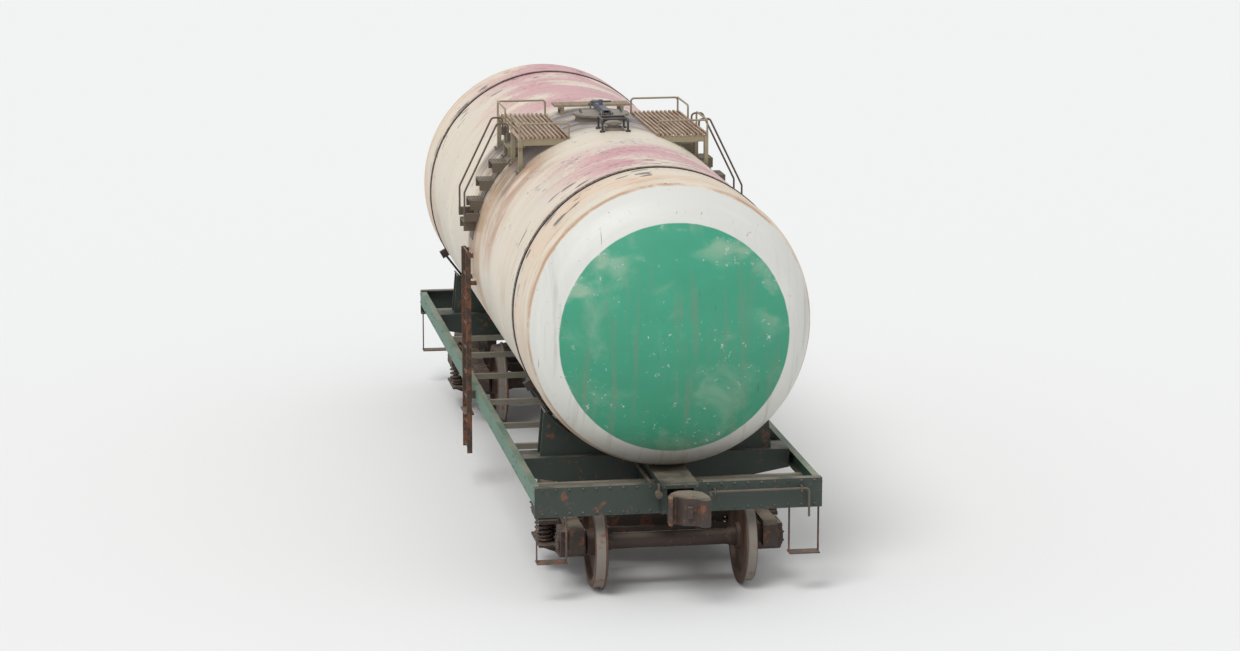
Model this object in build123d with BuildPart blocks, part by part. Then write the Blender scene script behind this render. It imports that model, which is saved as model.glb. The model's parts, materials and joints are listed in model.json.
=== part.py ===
from build123d import *
import os
from math import asin, cos, degrees, radians, sin, sqrt

# Four-axle railway tank car for petrol, broad gauge, all sizes in millimetres.
# X runs along the car, Y across it and Z up; the floor is at the flanges' lowest points.

os.makedirs("parts", exist_ok=True)

# Track and wheels
flange_height = 28
tread_radius = 475
half_back_to_back = 720
rim_width = 130
rim_inner_radius = 400
hub_radius = 145
wheel_seat_radius = 97
axle_radius = 82
journal_radius = 65
axle_half_length = 1147
axle_z = flange_height + tread_radius

# Bogies
half_wheel_gap = 450
half_wheelbase = tread_radius + half_wheel_gap
side_frame_y = 1018
side_frame_thickness = 150
running_gap = 1

# Underframe
coupler_rise = 585
coupler_z = axle_z + coupler_rise
half_beam_length = 5400
bogie_overhang = 1500
bogie_half_spacing = half_beam_length - bogie_overhang
half_frame_width = 1500
sill_half_depth = 155
sill_top_z = coupler_z + sill_half_depth
sill_bottom_z = coupler_z - sill_half_depth
sill_web_y = 175
sill_plate = 16
sill_flange_y = 255
end_plate = 16
side_sill_depth = 180
side_sill_drop = 13
side_sill_top_z = sill_top_z - side_sill_drop
side_sill_flange = 70
side_sill_plate = 10
pivot_drop = 259
pivot_z = coupler_z - pivot_drop

# Tank
tank_radius = 1512
tank_clearance = 20
tank_end_gap = 15
crown_radius = 2734
knuckle_radius = 523
hatch_bore_radius = 270
hatch_well_depth = 900
tank_z = sill_top_z + tank_clearance + tank_radius
crown_z = tank_z + tank_radius

# The hatch group sits a little nearer to the front than the tank's middle
hatch_x = -270

seat_gap = 0.3
ENDS = (("front", -1), ("rear", 1))
SIDES = (("left", 1), ("right", -1))


def side_plane(x, y, z=0):
    """Upright plane along the car: its first axis is the car's X, its second is Z."""
    return Plane(origin=(x, y, z), x_dir=(1, 0, 0), z_dir=(0, -1, 0))


def cross_plane(x, y=0, z=0):
    """Upright plane across the car: its first axis is the car's Y, its second is Z."""
    return Plane(origin=(x, y, z), x_dir=(0, 1, 0), z_dir=(1, 0, 0))


def keep(piece, label):
    piece.part.label = label
    export_step(piece.part, f"parts/{label}.step")


def block(place, length, width, height, stand=Align.CENTER, mode=Mode.ADD):
    """Bar or plate at a place, which is its middle, or its foot or top if stand says so."""
    with Locations(place):
        Box(length, width, height, align=(Align.CENTER, Align.CENTER, stand), mode=mode)


def round_bar(start_x, end_x, y, z, radius, mode=Mode.ADD):
    """Round bar along the car from one place to another."""
    with Locations(Location(((start_x + end_x) / 2, y, z), (0, 90, 0))):
        Cylinder(radius, abs(end_x - start_x), mode=mode)


def arc_band(inner_radius, outer_radius, start_angle, turn):
    """Outline of a band between two arcs about the sketch's origin."""
    inner = CenterArc((0, 0), inner_radius, start_angle, turn)
    outer = CenterArc((0, 0), outer_radius, start_angle, turn)
    Line(inner @ 0, outer @ 0)
    Line(inner @ 1, outer @ 1)


def tank_side_z(y):
    """Height of the tank's upper surface at a distance y from the middle."""
    return tank_z + sqrt(tank_radius**2 - y**2)


def dish_rise(half_width, rise):
    """Rise of a shallow round dome at half its width."""
    radius = (half_width**2 + rise**2) / (2 * rise)
    return rise - radius + sqrt(radius**2 - (half_width / 2) ** 2)


# Tank: a barrel with two dished heads, each a crown arc and a knuckle arc, and the hatch's well
crown_run = sqrt((crown_radius - knuckle_radius) ** 2 - (tank_radius - knuckle_radius) ** 2)
crown_angle = asin((tank_radius - knuckle_radius) / (crown_radius - knuckle_radius))
head_tip_x = half_beam_length - tank_end_gap
crown_centre_x = head_tip_x - crown_radius
barrel_half_length = crown_centre_x + crown_run


def head_arcs():
    """Half of a head's outline, from the tip on the axis out to the barrel."""
    tip = (head_tip_x, 0)
    middle = (
        crown_centre_x + crown_radius * cos(crown_angle / 2),
        crown_radius * sin(crown_angle / 2),
    )
    joint = (
        crown_centre_x + crown_radius * cos(crown_angle),
        crown_radius * sin(crown_angle),
    )
    knuckle_angle = (crown_angle + radians(90)) / 2
    knuckle_middle = (
        barrel_half_length + knuckle_radius * cos(knuckle_angle),
        tank_radius - knuckle_radius + knuckle_radius * sin(knuckle_angle),
    )
    ThreePointArc(tip, middle, joint)
    ThreePointArc(joint, knuckle_middle, (barrel_half_length, tank_radius))


def cut_by_tank():
    """Trims what is being built to the tank's barrel."""
    round_bar(-barrel_half_length, barrel_half_length, 0, tank_z, tank_radius, Mode.SUBTRACT)


with BuildPart() as tank_shell:
    with BuildSketch(side_plane(0, 0, tank_z)):
        with BuildLine():
            head_arcs()
            Line((barrel_half_length, tank_radius), (0, tank_radius))
            mirror(about=Plane.YZ)
            Line((head_tip_x, 0), (-head_tip_x, 0))
        make_face()
    revolve(axis=Axis((0, 0, tank_z), (1, 0, 0)))
    with BuildSketch(Plane.XY.offset(crown_z - hatch_well_depth)):
        with Locations((hatch_x, 0)):
            Circle(hatch_bore_radius)
    extrude(amount=2 * hatch_well_depth, mode=Mode.SUBTRACT)
keep(tank_shell, "tank_shell")

# Hatch: neck ring, hinge ears with their pin, and the latch ears at the other end
neck_radius = 292
neck_height = 45
neck_root = 60
hinge_reach = 400
hinge_rise = 110
ear_gap = 100
ear_plate = 14
ear_length = 70
ear_foot = 30
pin_radius = 12
neck_top_z = crown_z + neck_height
hatch_pivot_z = crown_z + hinge_rise
ear_y = (ear_gap + ear_plate) / 2

with BuildPart() as hatch_neck:
    with BuildSketch(Plane.XY.offset(crown_z - neck_root)):
        with Locations((hatch_x, 0)):
            Circle(neck_radius)
            Circle(hatch_bore_radius, mode=Mode.SUBTRACT)
    extrude(amount=neck_root + neck_height)
    for end in (-1, 1):
        ear_x = hatch_x + end * hinge_reach
        for side in (-1, 1):
            with BuildSketch(side_plane(ear_x, side * ear_y)):
                with Locations((0, hatch_pivot_z)):
                    Circle(ear_length / 2)
                with Locations((0, (crown_z - ear_foot + hatch_pivot_z) / 2)):
                    Rectangle(ear_length, hinge_rise + ear_foot)
            extrude(amount=ear_plate / 2, both=True)
            # Web that ties the ear to the neck
            web_inner = neck_radius - (neck_radius - hatch_bore_radius) / 2
            block(
                (hatch_x + end * (web_inner + hinge_reach) / 2, side * ear_y, neck_top_z),
                hinge_reach - web_inner,
                ear_plate,
                neck_height + ear_foot,
                Align.MAX,
            )
        with BuildSketch(side_plane(ear_x, 0, hatch_pivot_z)):
            Circle(pin_radius)
        extrude(amount=ear_gap / 2 + ear_plate, both=True)
    cut_by_tank()
keep(hatch_neck, "hatch_neck")

# Lid: thin dished disc whose rim stands out past the neck
lid_radius = 325
lid_rim = 20
lid_dish = 26
lid_flat = 45
lid_bottom_z = neck_top_z + seat_gap
lid_dome_half = lid_radius - lid_flat

with BuildPart() as hatch_lid:
    with BuildSketch(side_plane(hatch_x, 0, lid_bottom_z)):
        with BuildLine():
            Polyline((0, 0), (lid_radius, 0), (lid_radius, lid_rim), (lid_dome_half, lid_rim))
            ThreePointArc(
                (lid_dome_half, lid_rim),
                (lid_dome_half / 2, lid_rim + dish_rise(lid_dome_half, lid_dish)),
                (0, lid_rim + lid_dish),
            )
            Line((0, lid_rim + lid_dish), (0, 0))
        make_face()
    revolve(axis=Axis((hatch_x, 0, 0), (0, 0, 1)))
keep(hatch_lid, "hatch_lid")

# Arm: a channel over the lid, hinged at one end, with the pressing screw and its cross handle
arm_bottom_z = lid_bottom_z + lid_rim + lid_dish
arm_side_gap = 10
arm_width = ear_gap - 2 * arm_side_gap
arm_depth = 65
arm_plate = 10
arm_end = 30
screw_radius = 24
screw_height = 60
handle_length = 240
handle_radius = 11
pin_hole_radius = pin_radius + running_gap

with BuildPart() as hatch_arm:
    arm_length = 2 * (hinge_reach + arm_end)
    block((hatch_x, 0, arm_bottom_z), arm_length, arm_width, arm_depth, Align.MIN)
    block(
        (hatch_x, 0, arm_bottom_z),
        2 * arm_length,
        arm_width - 2 * arm_plate,
        arm_depth - arm_plate,
        Align.MIN,
        Mode.SUBTRACT,
    )
    with Locations((hatch_x, 0, arm_bottom_z)):
        Cylinder(
            screw_radius,
            arm_depth + screw_height,
            align=(Align.CENTER, Align.CENTER, Align.MIN),
        )
    handle_z = arm_bottom_z + arm_depth + screw_height - 2 * handle_radius
    with BuildSketch(side_plane(hatch_x, 0, handle_z)):
        Circle(handle_radius)
    extrude(amount=handle_length / 2, both=True)
    for end in (-1, 1):
        with BuildSketch(side_plane(hatch_x + end * hinge_reach, 0, hatch_pivot_z)):
            Circle(pin_hole_radius)
        extrude(amount=arm_width, both=True, mode=Mode.SUBTRACT)
    # The latch end is open below so that it lifts off its pin
    block(
        (hatch_x + hinge_reach, 0, hatch_pivot_z),
        2 * pin_hole_radius,
        2 * arm_width,
        2 * (hatch_pivot_z - arm_bottom_z),
        Align.MAX,
        Mode.SUBTRACT,
    )
keep(hatch_arm, "hatch_arm")

# Safety valve: round flange with four feet, body and domed cap, inside a tube guard frame
valve_x = hatch_x - 900
valve_root = 30
valve_flange_radius = 118
valve_flange_top = 26
valve_body_radius = 66
valve_cap_radius = 96
valve_cap_z = 62
valve_cap_rim = 20
valve_cap_rise = 30
valve_foot = 56
guard_half = 145
guard_height = 135
guard_bend = 36
guard_tube = 12
guard_foot_radius = 30
guard_foot_height = 14

with BuildPart() as safety_valve:
    with BuildSketch(side_plane(valve_x, 0, crown_z)):
        with BuildLine():
            cap_top = valve_cap_z + valve_cap_rim
            Polyline(
                (0, cap_top + valve_cap_rise),
                (0, -valve_root),
                (valve_flange_radius, -valve_root),
                (valve_flange_radius, valve_flange_top),
                (valve_body_radius, valve_flange_top),
                (valve_body_radius, valve_cap_z),
                (valve_cap_radius, valve_cap_z),
                (valve_cap_radius, cap_top),
            )
            ThreePointArc(
                (valve_cap_radius, cap_top),
                (valve_cap_radius / 2, cap_top + dish_rise(valve_cap_radius, valve_cap_rise)),
                (0, cap_top + valve_cap_rise),
            )
        make_face()
    revolve(axis=Axis((valve_x, 0, 0), (0, 0, 1)))
    with Locations((valve_x, 0, crown_z - valve_root)):
        with PolarLocations(valve_flange_radius, 4, start_angle=45):
            Box(
                valve_foot,
                valve_foot,
                valve_root + valve_flange_top / 2,
                align=(Align.CENTER, Align.CENTER, Align.MIN),
            )
    for side in (-1, 1):
        guard_y = side * guard_half
        with BuildLine() as guard_line:
            FilletPolyline(
                (valve_x - guard_half, guard_y, crown_z - valve_root),
                (valve_x - guard_half, guard_y, crown_z + guard_height),
                (valve_x + guard_half, guard_y, crown_z + guard_height),
                (valve_x + guard_half, guard_y, crown_z - valve_root),
                radius=guard_bend,
            )
        with BuildSketch(Plane.XY.offset(crown_z - valve_root)):
            with Locations((valve_x - guard_half, guard_y)):
                Circle(guard_tube)
        sweep(path=guard_line.wires()[0])
        for end in (-1, 1):
            with Locations((valve_x + end * guard_half, guard_y, crown_z - valve_root)):
                Cylinder(
                    guard_foot_radius,
                    valve_root + guard_foot_height,
                    align=(Align.CENTER, Align.CENTER, Align.MIN),
                )
    for end in (-1, 1):
        cross_x = valve_x + end * (guard_half - guard_bend)
        with Locations(Location((cross_x, 0, crown_z + guard_height), (90, 0, 0))):
            Cylinder(guard_tube, 2 * guard_half)
    cut_by_tank()
keep(safety_valve, "safety_valve")

# Bench step behind the hatch
bench_x = hatch_x + 745
bench_depth = 250
bench_width = 890
bench_height = 75
bench_slats = 5
bench_slat_width = 36
slat_thickness = 25
bench_foot_y = 350
foot_bar = 40
bench_leg = 140

with BuildPart() as bench_step:
    bench_pitch = (bench_depth - bench_slat_width) / (bench_slats - 1)
    with Locations((bench_x, 0, crown_z + bench_height - slat_thickness / 2)):
        with GridLocations(bench_pitch, 0, bench_slats, 1):
            Box(bench_slat_width, bench_width, slat_thickness)
    for side in (-1, 1):
        foot_place = (bench_x, side * bench_foot_y, crown_z + bench_height - slat_thickness)
        block(foot_place, bench_depth, foot_bar, foot_bar, Align.MAX)
        with Locations(foot_place):
            with GridLocations(bench_depth - foot_bar, 0, 2, 1):
                Box(foot_bar, foot_bar, bench_leg, align=(Align.CENTER, Align.CENTER, Align.MAX))
    cut_by_tank()
keep(bench_step, "bench_step")

# Side platforms: narrow slats along the car on cross bearers, channel posts and low rails
platform_inner_y = 500
platform_outer_y = 1080
platform_half_length = 950
platform_drop = 60
platform_z = crown_z - platform_drop
platform_slats = 12
slat_width = 24
bearer = 45
end_bearer = 70
post_width = 60
post_plate = 10
post_foot = 120
foot_plate = 12
foot_half_angle = 2.6
rail_height = 150
rail_radius = 11
rail_bend = 35
gate_half_width = 270
# Bearers of a platform: share of its half length, depth
BEARERS = ((-1, end_bearer), (-0.33, bearer), (0.33, bearer), (1, end_bearer))

platform_y = (platform_inner_y + platform_outer_y) / 2
platform_width = platform_outer_y - platform_inner_y
slat_pitch = (platform_width - slat_width) / (platform_slats - 1)
slat_bottom_z = platform_z - slat_thickness
rail_y = platform_outer_y - rail_radius
hoop_inner_y = platform_inner_y + rail_radius
post_y = platform_outer_y - bearer / 2

for side_name, side in SIDES:
    with BuildPart() as platform:
        with Locations((hatch_x, side * platform_y, platform_z - slat_thickness / 2)):
            with GridLocations(0, slat_pitch, 1, platform_slats):
                Box(2 * platform_half_length, slat_width, slat_thickness)
        for share, depth in BEARERS:
            bearer_x = hatch_x + share * (platform_half_length - post_width / 2)
            block(
                (bearer_x, side * platform_y, slat_bottom_z),
                bearer,
                platform_width,
                depth,
                Align.MAX,
            )
            # Post: a channel open to the inside, with a foot on the barrel
            post_bottom_z = tank_side_z(platform_outer_y) - bearer
            post_height = slat_bottom_z - post_bottom_z
            block((bearer_x, side * post_y, slat_bottom_z), post_width, bearer, post_height, Align.MAX)
            block(
                (bearer_x, side * (post_y - post_plate), slat_bottom_z - depth),
                post_width - 2 * post_plate,
                bearer,
                post_height,
                Align.MAX,
                Mode.SUBTRACT,
            )
            foot_angle = degrees(asin(sqrt(tank_radius**2 - post_y**2) / tank_radius))
            foot_start = foot_angle if side == 1 else 180 - foot_angle
            with BuildSketch(cross_plane(bearer_x - post_foot / 2, 0, tank_z)):
                with BuildLine():
                    arc_band(
                        tank_radius,
                        tank_radius + foot_plate,
                        foot_start - foot_half_angle,
                        2 * foot_half_angle,
                    )
                make_face()
            extrude(amount=post_foot)
        for end in (-1, 1):
            hoop_x = hatch_x + end * (platform_half_length - rail_radius)
            gate_x = hatch_x + end * gate_half_width
            rail_z = platform_z + rail_height
            with BuildLine() as hoop_line:
                FilletPolyline(
                    (hoop_x, side * hoop_inner_y, slat_bottom_z),
                    (hoop_x, side * hoop_inner_y, rail_z),
                    (hoop_x, side * rail_y, rail_z),
                    (hoop_x, side * rail_y, slat_bottom_z),
                    radius=rail_bend,
                )
            with BuildSketch(Plane.XY.offset(slat_bottom_z)):
                with Locations((hoop_x, side * hoop_inner_y)):
                    Circle(rail_radius)
            sweep(path=hoop_line.wires()[0])
            with BuildLine() as rail_line:
                FilletPolyline(
                    (gate_x, side * rail_y, slat_bottom_z),
                    (gate_x, side * rail_y, rail_z),
                    (hoop_x, side * rail_y, rail_z),
                    radius=rail_bend,
                )
            with BuildSketch(Plane.XY.offset(slat_bottom_z)):
                with Locations((gate_x, side * rail_y)):
                    Circle(rail_radius)
            sweep(path=rail_line.wires()[0])
        cut_by_tank()
    keep(platform, f"platform_{side_name}")

# Steps on the tank's shoulders: open boxes on a strip that follows the barrel
step_angles = (12.5, 22, 31.5, 41, 50.5)
step_half_width = 175
step_reach = 140
step_root = 200
step_depth = 110
step_plate = 10
strip_half_width = 130
strip_plate = 8
strip_low_angle = 6
strip_high_angle = 55

with BuildPart() as tank_steps:
    for side in (-1, 1):
        strip_start = strip_low_angle if side == 1 else 180 - strip_low_angle
        strip_turn = side * (strip_high_angle - strip_low_angle)
        with BuildSketch(cross_plane(hatch_x - strip_half_width, 0, tank_z)):
            with BuildLine():
                arc_band(tank_radius, tank_radius + strip_plate, strip_start, strip_turn)
            make_face()
        extrude(amount=2 * strip_half_width)
        for angle in step_angles:
            root_y = tank_radius * cos(radians(angle))
            tread_z = tank_z + tank_radius * sin(radians(angle)) + step_depth / 2
            cheek_x = step_half_width - step_plate / 2
            # Each wall of a step: its middle along the car, width, height
            for wall_x, wall_width, wall_height in (
                (0, 2 * step_half_width, step_plate),
                (-cheek_x, step_plate, step_depth),
                (cheek_x, step_plate, step_depth),
            ):
                block(
                    (hatch_x + wall_x, side * (root_y + (step_reach - step_root) / 2), tread_z),
                    wall_width,
                    step_reach + step_root,
                    wall_height,
                    Align.MAX,
                )
    cut_by_tank()
keep(tank_steps, "tank_steps")

# Handrails from the platforms over the shoulders, each ending in a block on the barrel
handrail_half_gap = 235
handrail_radius = 11
handrail_rise = 60
handrail_stand = 25
handrail_run = 150
handrail_out = 98
handrail_bend_rise = 730
handrail_foot_rise = 440
handrail_drop = 120
handrail_bend = 45
block_height = 90
block_width = 60
block_reach = 200
clip_depth = 42
handrail_top_z = platform_z + handrail_rise
handrail_y = platform_outer_y + handrail_stand
handrail_bend_y = tank_radius + handrail_out

with BuildPart() as handrails:
    for side in (-1, 1):
        for end in (-1, 1):
            rail_x = hatch_x + end * handrail_half_gap
            with BuildLine() as rail_path:
                FilletPolyline(
                    (rail_x, side * handrail_y, platform_z - handrail_drop),
                    (rail_x, side * handrail_y, handrail_top_z),
                    (rail_x, side * (platform_outer_y + handrail_run), handrail_top_z),
                    (rail_x, side * handrail_bend_y, tank_z + handrail_bend_rise),
                    (rail_x, side * handrail_bend_y, tank_z + handrail_foot_rise),
                    radius=handrail_bend,
                )
            with BuildSketch(Plane.XY.offset(platform_z - handrail_drop)):
                with Locations((rail_x, side * handrail_y)):
                    Circle(handrail_radius)
            sweep(path=rail_path.wires()[0])
            block(
                (
                    rail_x,
                    side * (handrail_bend_y + handrail_radius - block_reach / 2),
                    tank_z + handrail_foot_rise,
                ),
                block_width,
                block_reach,
                block_height,
            )
            block(
                (
                    rail_x,
                    side * (platform_outer_y + clip_depth / 2),
                    slat_bottom_z - end_bearer,
                ),
                block_width,
                clip_depth,
                block_height,
            )
    cut_by_tank()
keep(handrails, "handrails")

# Lower ladders down the flanks, with brackets to the tank and to the side sills
ladder_half_width = 200
ladder_out = 70
ladder_tank_gap = 58
ladder_y = max(half_frame_width + ladder_out, tank_radius + ladder_tank_gap)
ladder_bar_depth = 60
ladder_bar = 14
ladder_rise = 30
ladder_top_z = tank_z + ladder_rise
ladder_bottom_z = 440
rung_radius = 12
rung_count = 9
rung_margin = 40
bracket_drops = (40, 360)
bracket_reach = 180
bracket_depth = 50
foot_step_z = 900
foot_step_width = 110
foot_step_plate = 20
sill_bracket = 60

for side_name, side in SIDES:
    with BuildPart() as ladder:
        for end in (-1, 1):
            bar_x = hatch_x + end * ladder_half_width
            block(
                (bar_x, side * ladder_y, ladder_bottom_z),
                ladder_bar,
                ladder_bar_depth,
                ladder_top_z - ladder_bottom_z,
                Align.MIN,
            )
            for bracket_drop in bracket_drops:
                block(
                    (bar_x, side * (ladder_y - bracket_reach / 2), ladder_top_z - bracket_drop),
                    ladder_bar,
                    bracket_reach,
                    bracket_depth,
                )
            sill_reach = ladder_y - ladder_bar_depth / 2 - half_frame_width
            block(
                (
                    bar_x,
                    side * (half_frame_width + sill_reach / 2),
                    side_sill_top_z - side_sill_depth / 2,
                ),
                sill_bracket,
                sill_reach,
                side_sill_depth / 2,
            )
        rung_pitch = (ladder_top_z - ladder_bottom_z - 1.2 * rung_margin) / (rung_count - 1)
        with BuildSketch(cross_plane(hatch_x, side * ladder_y, ladder_bottom_z + rung_margin)):
            with Locations((0, (rung_count - 1) * rung_pitch / 2)):
                with GridLocations(0, rung_pitch, 1, rung_count):
                    Circle(rung_radius)
        extrude(amount=ladder_half_width, both=True)
        block(
            (hatch_x, side * ladder_y, foot_step_z),
            2 * ladder_half_width,
            foot_step_width,
            foot_step_plate,
        )
        cut_by_tank()
    keep(ladder, f"lower_ladder_{side_name}")

# Tie straps over the tank at the bolsters, with end blocks and tightening rods
strap_width = 80
strap_plate = 10
strap_low_angle = -30
anchor_angle = -44
strap_block = 90
rod_radius = 14
rod_offset = 45
anchor_thickness = 50
rod_end_gap = 2

with BuildPart() as tie_straps:
    for end in (-1, 1):
        strap_x = end * bogie_half_spacing
        with BuildSketch(cross_plane(strap_x - strap_width / 2, 0, tank_z)):
            with BuildLine():
                arc_band(
                    tank_radius + seat_gap,
                    tank_radius + strap_plate,
                    strap_low_angle,
                    180 - 2 * strap_low_angle,
                )
            make_face()
        extrude(amount=strap_width)
        for side in (-1, 1):
            start = (
                strap_x,
                side * (tank_radius + rod_offset) * cos(radians(strap_low_angle)),
                tank_z + (tank_radius + rod_offset) * sin(radians(strap_low_angle)),
            )
            finish = (
                strap_x,
                side * (tank_radius + rod_offset) * cos(radians(anchor_angle)),
                tank_z + (tank_radius + rod_offset) * sin(radians(anchor_angle)),
            )
            along = Vector(*finish) - Vector(*start)
            with BuildSketch(Plane(origin=start, z_dir=along)):
                Circle(rod_radius)
            extrude(amount=along.length - anchor_thickness / 2 - rod_end_gap)
            with Locations(Location(start, (side * strap_low_angle, 0, 0))):
                Box(strap_width, 2 * rod_offset - 2 * seat_gap, strap_block)
keep(tie_straps, "tie_straps")

# Wooden blocks between the tank and its cradles
wood_low_angle = 24
wood_high_angle = 41
wood_thickness = 70
wood_half_width = 120
cradle_plate = 16
cradle_low_angle = 22
cradle_high_angle = 49

with BuildPart() as saddle_blocks:
    for end in (-1, 1):
        with BuildSketch(cross_plane(end * bogie_half_spacing - wood_half_width, 0, tank_z)):
            for side in (-1, 1):
                with BuildLine():
                    arc_band(
                        tank_radius + seat_gap,
                        tank_radius + wood_thickness,
                        -90 + side * wood_low_angle,
                        side * (wood_high_angle - wood_low_angle),
                    )
                make_face()
        extrude(amount=2 * wood_half_width)
keep(saddle_blocks, "saddle_blocks")

# Centre sill: two Z bars joined along the top, with a shelf for the tank's lugs
discharge_hole_radius = 160
shelf_half_length = 450
shelf_y = 560
shelf_plate = 30

with BuildPart() as centre_sill:
    half_sill = half_beam_length - end_plate
    with BuildSketch(cross_plane(-half_sill)):
        with BuildLine():
            web_out = sill_web_y + sill_plate
            Polyline(
                (0, sill_top_z - sill_plate),
                (sill_web_y, sill_top_z - sill_plate),
                (sill_web_y, sill_bottom_z),
                (sill_flange_y, sill_bottom_z),
                (sill_flange_y, sill_bottom_z + sill_plate),
                (web_out, sill_bottom_z + sill_plate),
                (web_out, sill_top_z),
                (0, sill_top_z),
            )
            mirror(about=Plane.YZ)
        make_face()
    extrude(amount=2 * half_sill)
    block((0, 0, sill_top_z), 2 * shelf_half_length, 2 * shelf_y, shelf_plate, Align.MAX)
    with BuildSketch(Plane.XY.offset(sill_top_z)):
        Circle(discharge_hole_radius)
    extrude(amount=-2 * shelf_plate, mode=Mode.SUBTRACT)
keep(centre_sill, "centre_sill")

# Lugs that tie the tank's middle to the sill's shelf
lug_half_length = 400
lug_inner_y = 230
lug_outer_y = shelf_y - 20
lug_spine_y = lug_outer_y - 60
lug_plate = 20
lug_ribs = 5
lug_height = 160

with BuildPart() as mid_lugs:
    for side in (-1, 1):
        lug_place = (0, side * (lug_inner_y + lug_outer_y) / 2, sill_top_z)
        lug_width = lug_outer_y - lug_inner_y
        block(lug_place, 2 * lug_half_length, lug_width, lug_plate, Align.MIN)
        with Locations(lug_place):
            with GridLocations((2 * lug_half_length - lug_plate) / (lug_ribs - 1), 0, lug_ribs, 1):
                Box(
                    lug_plate,
                    lug_width,
                    lug_height,
                    align=(Align.CENTER, Align.CENTER, Align.MIN),
                )
        block(
            (0, side * lug_spine_y, sill_top_z),
            2 * lug_half_length,
            lug_plate,
            lug_height,
            Align.MIN,
        )
    cut_by_tank()
keep(mid_lugs, "mid_lugs")

# Bolsters with their cradles, centre plate and side bearers
bolster_half_width = 190
bolster_bottom_z = pivot_z + 33
bolster_end_z = side_sill_top_z - side_sill_depth - 10
bolster_taper_y = 420
bolster_end_y = half_frame_width - side_sill_flange
bolster_top_z = sill_top_z - 3
centre_plate_radius = 150
bearer_y = 762
bearer_gap = 8
bearer_length = 240
bearer_width = 120
bearer_height = 80
bogie_bearer_z = pivot_z + 51
cradle_web = 20
cradle_web_x = 100
web_foot_in = 60
web_foot_out = 40
brake_pipe_y = 235
brake_pipe_rise = 72
brake_pipe_z = coupler_z + brake_pipe_rise
pipe_radius = 20
pipe_hole_radius = 26

for end_name, end in ENDS:
    bolster_x = end * bogie_half_spacing
    with BuildPart() as bolster:
        with BuildSketch(cross_plane(bolster_x - bolster_half_width)):
            with BuildLine():
                Polyline(
                    (0, bolster_bottom_z),
                    (bolster_taper_y, bolster_bottom_z),
                    (bolster_end_y, bolster_end_z),
                    (bolster_end_y, bolster_top_z),
                    (0, bolster_top_z),
                )
                mirror(about=Plane.YZ)
            make_face()
        extrude(amount=2 * bolster_half_width)
        cradle_inner = tank_radius + wood_thickness
        cradle_outer = cradle_inner + cradle_plate
        for side in (-1, 1):
            low_y = side * cradle_outer * sin(radians(cradle_low_angle))
            high_y = side * cradle_outer * sin(radians(cradle_high_angle))
            start_angle = -90 + side * cradle_low_angle
            turn = side * (cradle_high_angle - cradle_low_angle)
            # Plate under the wood
            with BuildSketch(cross_plane(bolster_x - bolster_half_width, 0, tank_z)):
                with BuildLine():
                    arc_band(cradle_inner, cradle_outer, start_angle, turn)
                make_face()
            extrude(amount=2 * bolster_half_width)
            # Webs from the bolster up to that plate
            for web_end in (-1, 1):
                web_x = bolster_x + web_end * cradle_web_x
                with BuildSketch(cross_plane(web_x - cradle_web / 2, 0, tank_z)):
                    with BuildLine():
                        seat = CenterArc((0, 0), cradle_outer - 1, start_angle, turn)
                        Polyline(
                            seat @ 0,
                            (low_y - side * web_foot_in, bolster_top_z - 1 - tank_z),
                            (high_y + side * web_foot_out, bolster_top_z - 1 - tank_z),
                            seat @ 1,
                        )
                    make_face()
                extrude(amount=cradle_web)
            # Anchor for the strap's rod
            anchor = radians(90 + anchor_angle)
            with Locations(Location(
                (
                    bolster_x,
                    side * (tank_radius + rod_offset) * sin(anchor),
                    tank_z - (tank_radius + rod_offset) * cos(anchor),
                ),
                (side * degrees(anchor), 0, 0),
            )):
                Box(strap_width, anchor_thickness, 2 * rod_offset)
            # Side bearer
            block(
                (bolster_x, side * bearer_y, bogie_bearer_z + bearer_gap),
                bearer_length,
                bearer_width,
                bearer_height,
                Align.MIN,
            )
        with BuildSketch(Plane.XY.offset(pivot_z + seat_gap)):
            with Locations((bolster_x, 0)):
                Circle(centre_plate_radius)
        extrude(amount=bolster_bottom_z - pivot_z)
        # Notches for the centre sill and the brake pipe
        for half_notch, notch_height in (
            (sill_flange_y, sill_plate),
            (sill_web_y + sill_plate, 2 * sill_half_depth),
        ):
            block(
                (bolster_x, 0, sill_bottom_z - seat_gap),
                3 * bolster_half_width,
                2 * (half_notch + seat_gap),
                notch_height + 2 * seat_gap,
                Align.MIN,
                Mode.SUBTRACT,
            )
        round_bar(
            bolster_x - 2 * bolster_half_width,
            bolster_x + 2 * bolster_half_width,
            brake_pipe_y,
            brake_pipe_z,
            pipe_hole_radius,
            Mode.SUBTRACT,
        )
    keep(bolster, f"bolster_{end_name}")

# Cross bars from the centre sill to the side sills
cross_bar = 60
cross_bar_bottom_z = side_sill_top_z - side_sill_depth + side_sill_plate
outer_cross_bar_x = half_beam_length - 700
mid_cross_bar_x = 1900
inner_cross_bar_x = 700
cross_bar_xs = (
    outer_cross_bar_x,
    bogie_half_spacing - 1000,
    mid_cross_bar_x,
    inner_cross_bar_x,
)

with BuildPart() as cross_bars:
    bar_inner_y = sill_web_y + sill_plate
    bar_length = half_frame_width - side_sill_flange - bar_inner_y
    for end in (-1, 1):
        for bar_x in cross_bar_xs:
            for side in (-1, 1):
                block(
                    (end * bar_x, side * (bar_inner_y + bar_length / 2), cross_bar_bottom_z),
                    cross_bar,
                    bar_length,
                    cross_bar,
                    Align.MIN,
                )
keep(cross_bars, "cross_bars")

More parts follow.
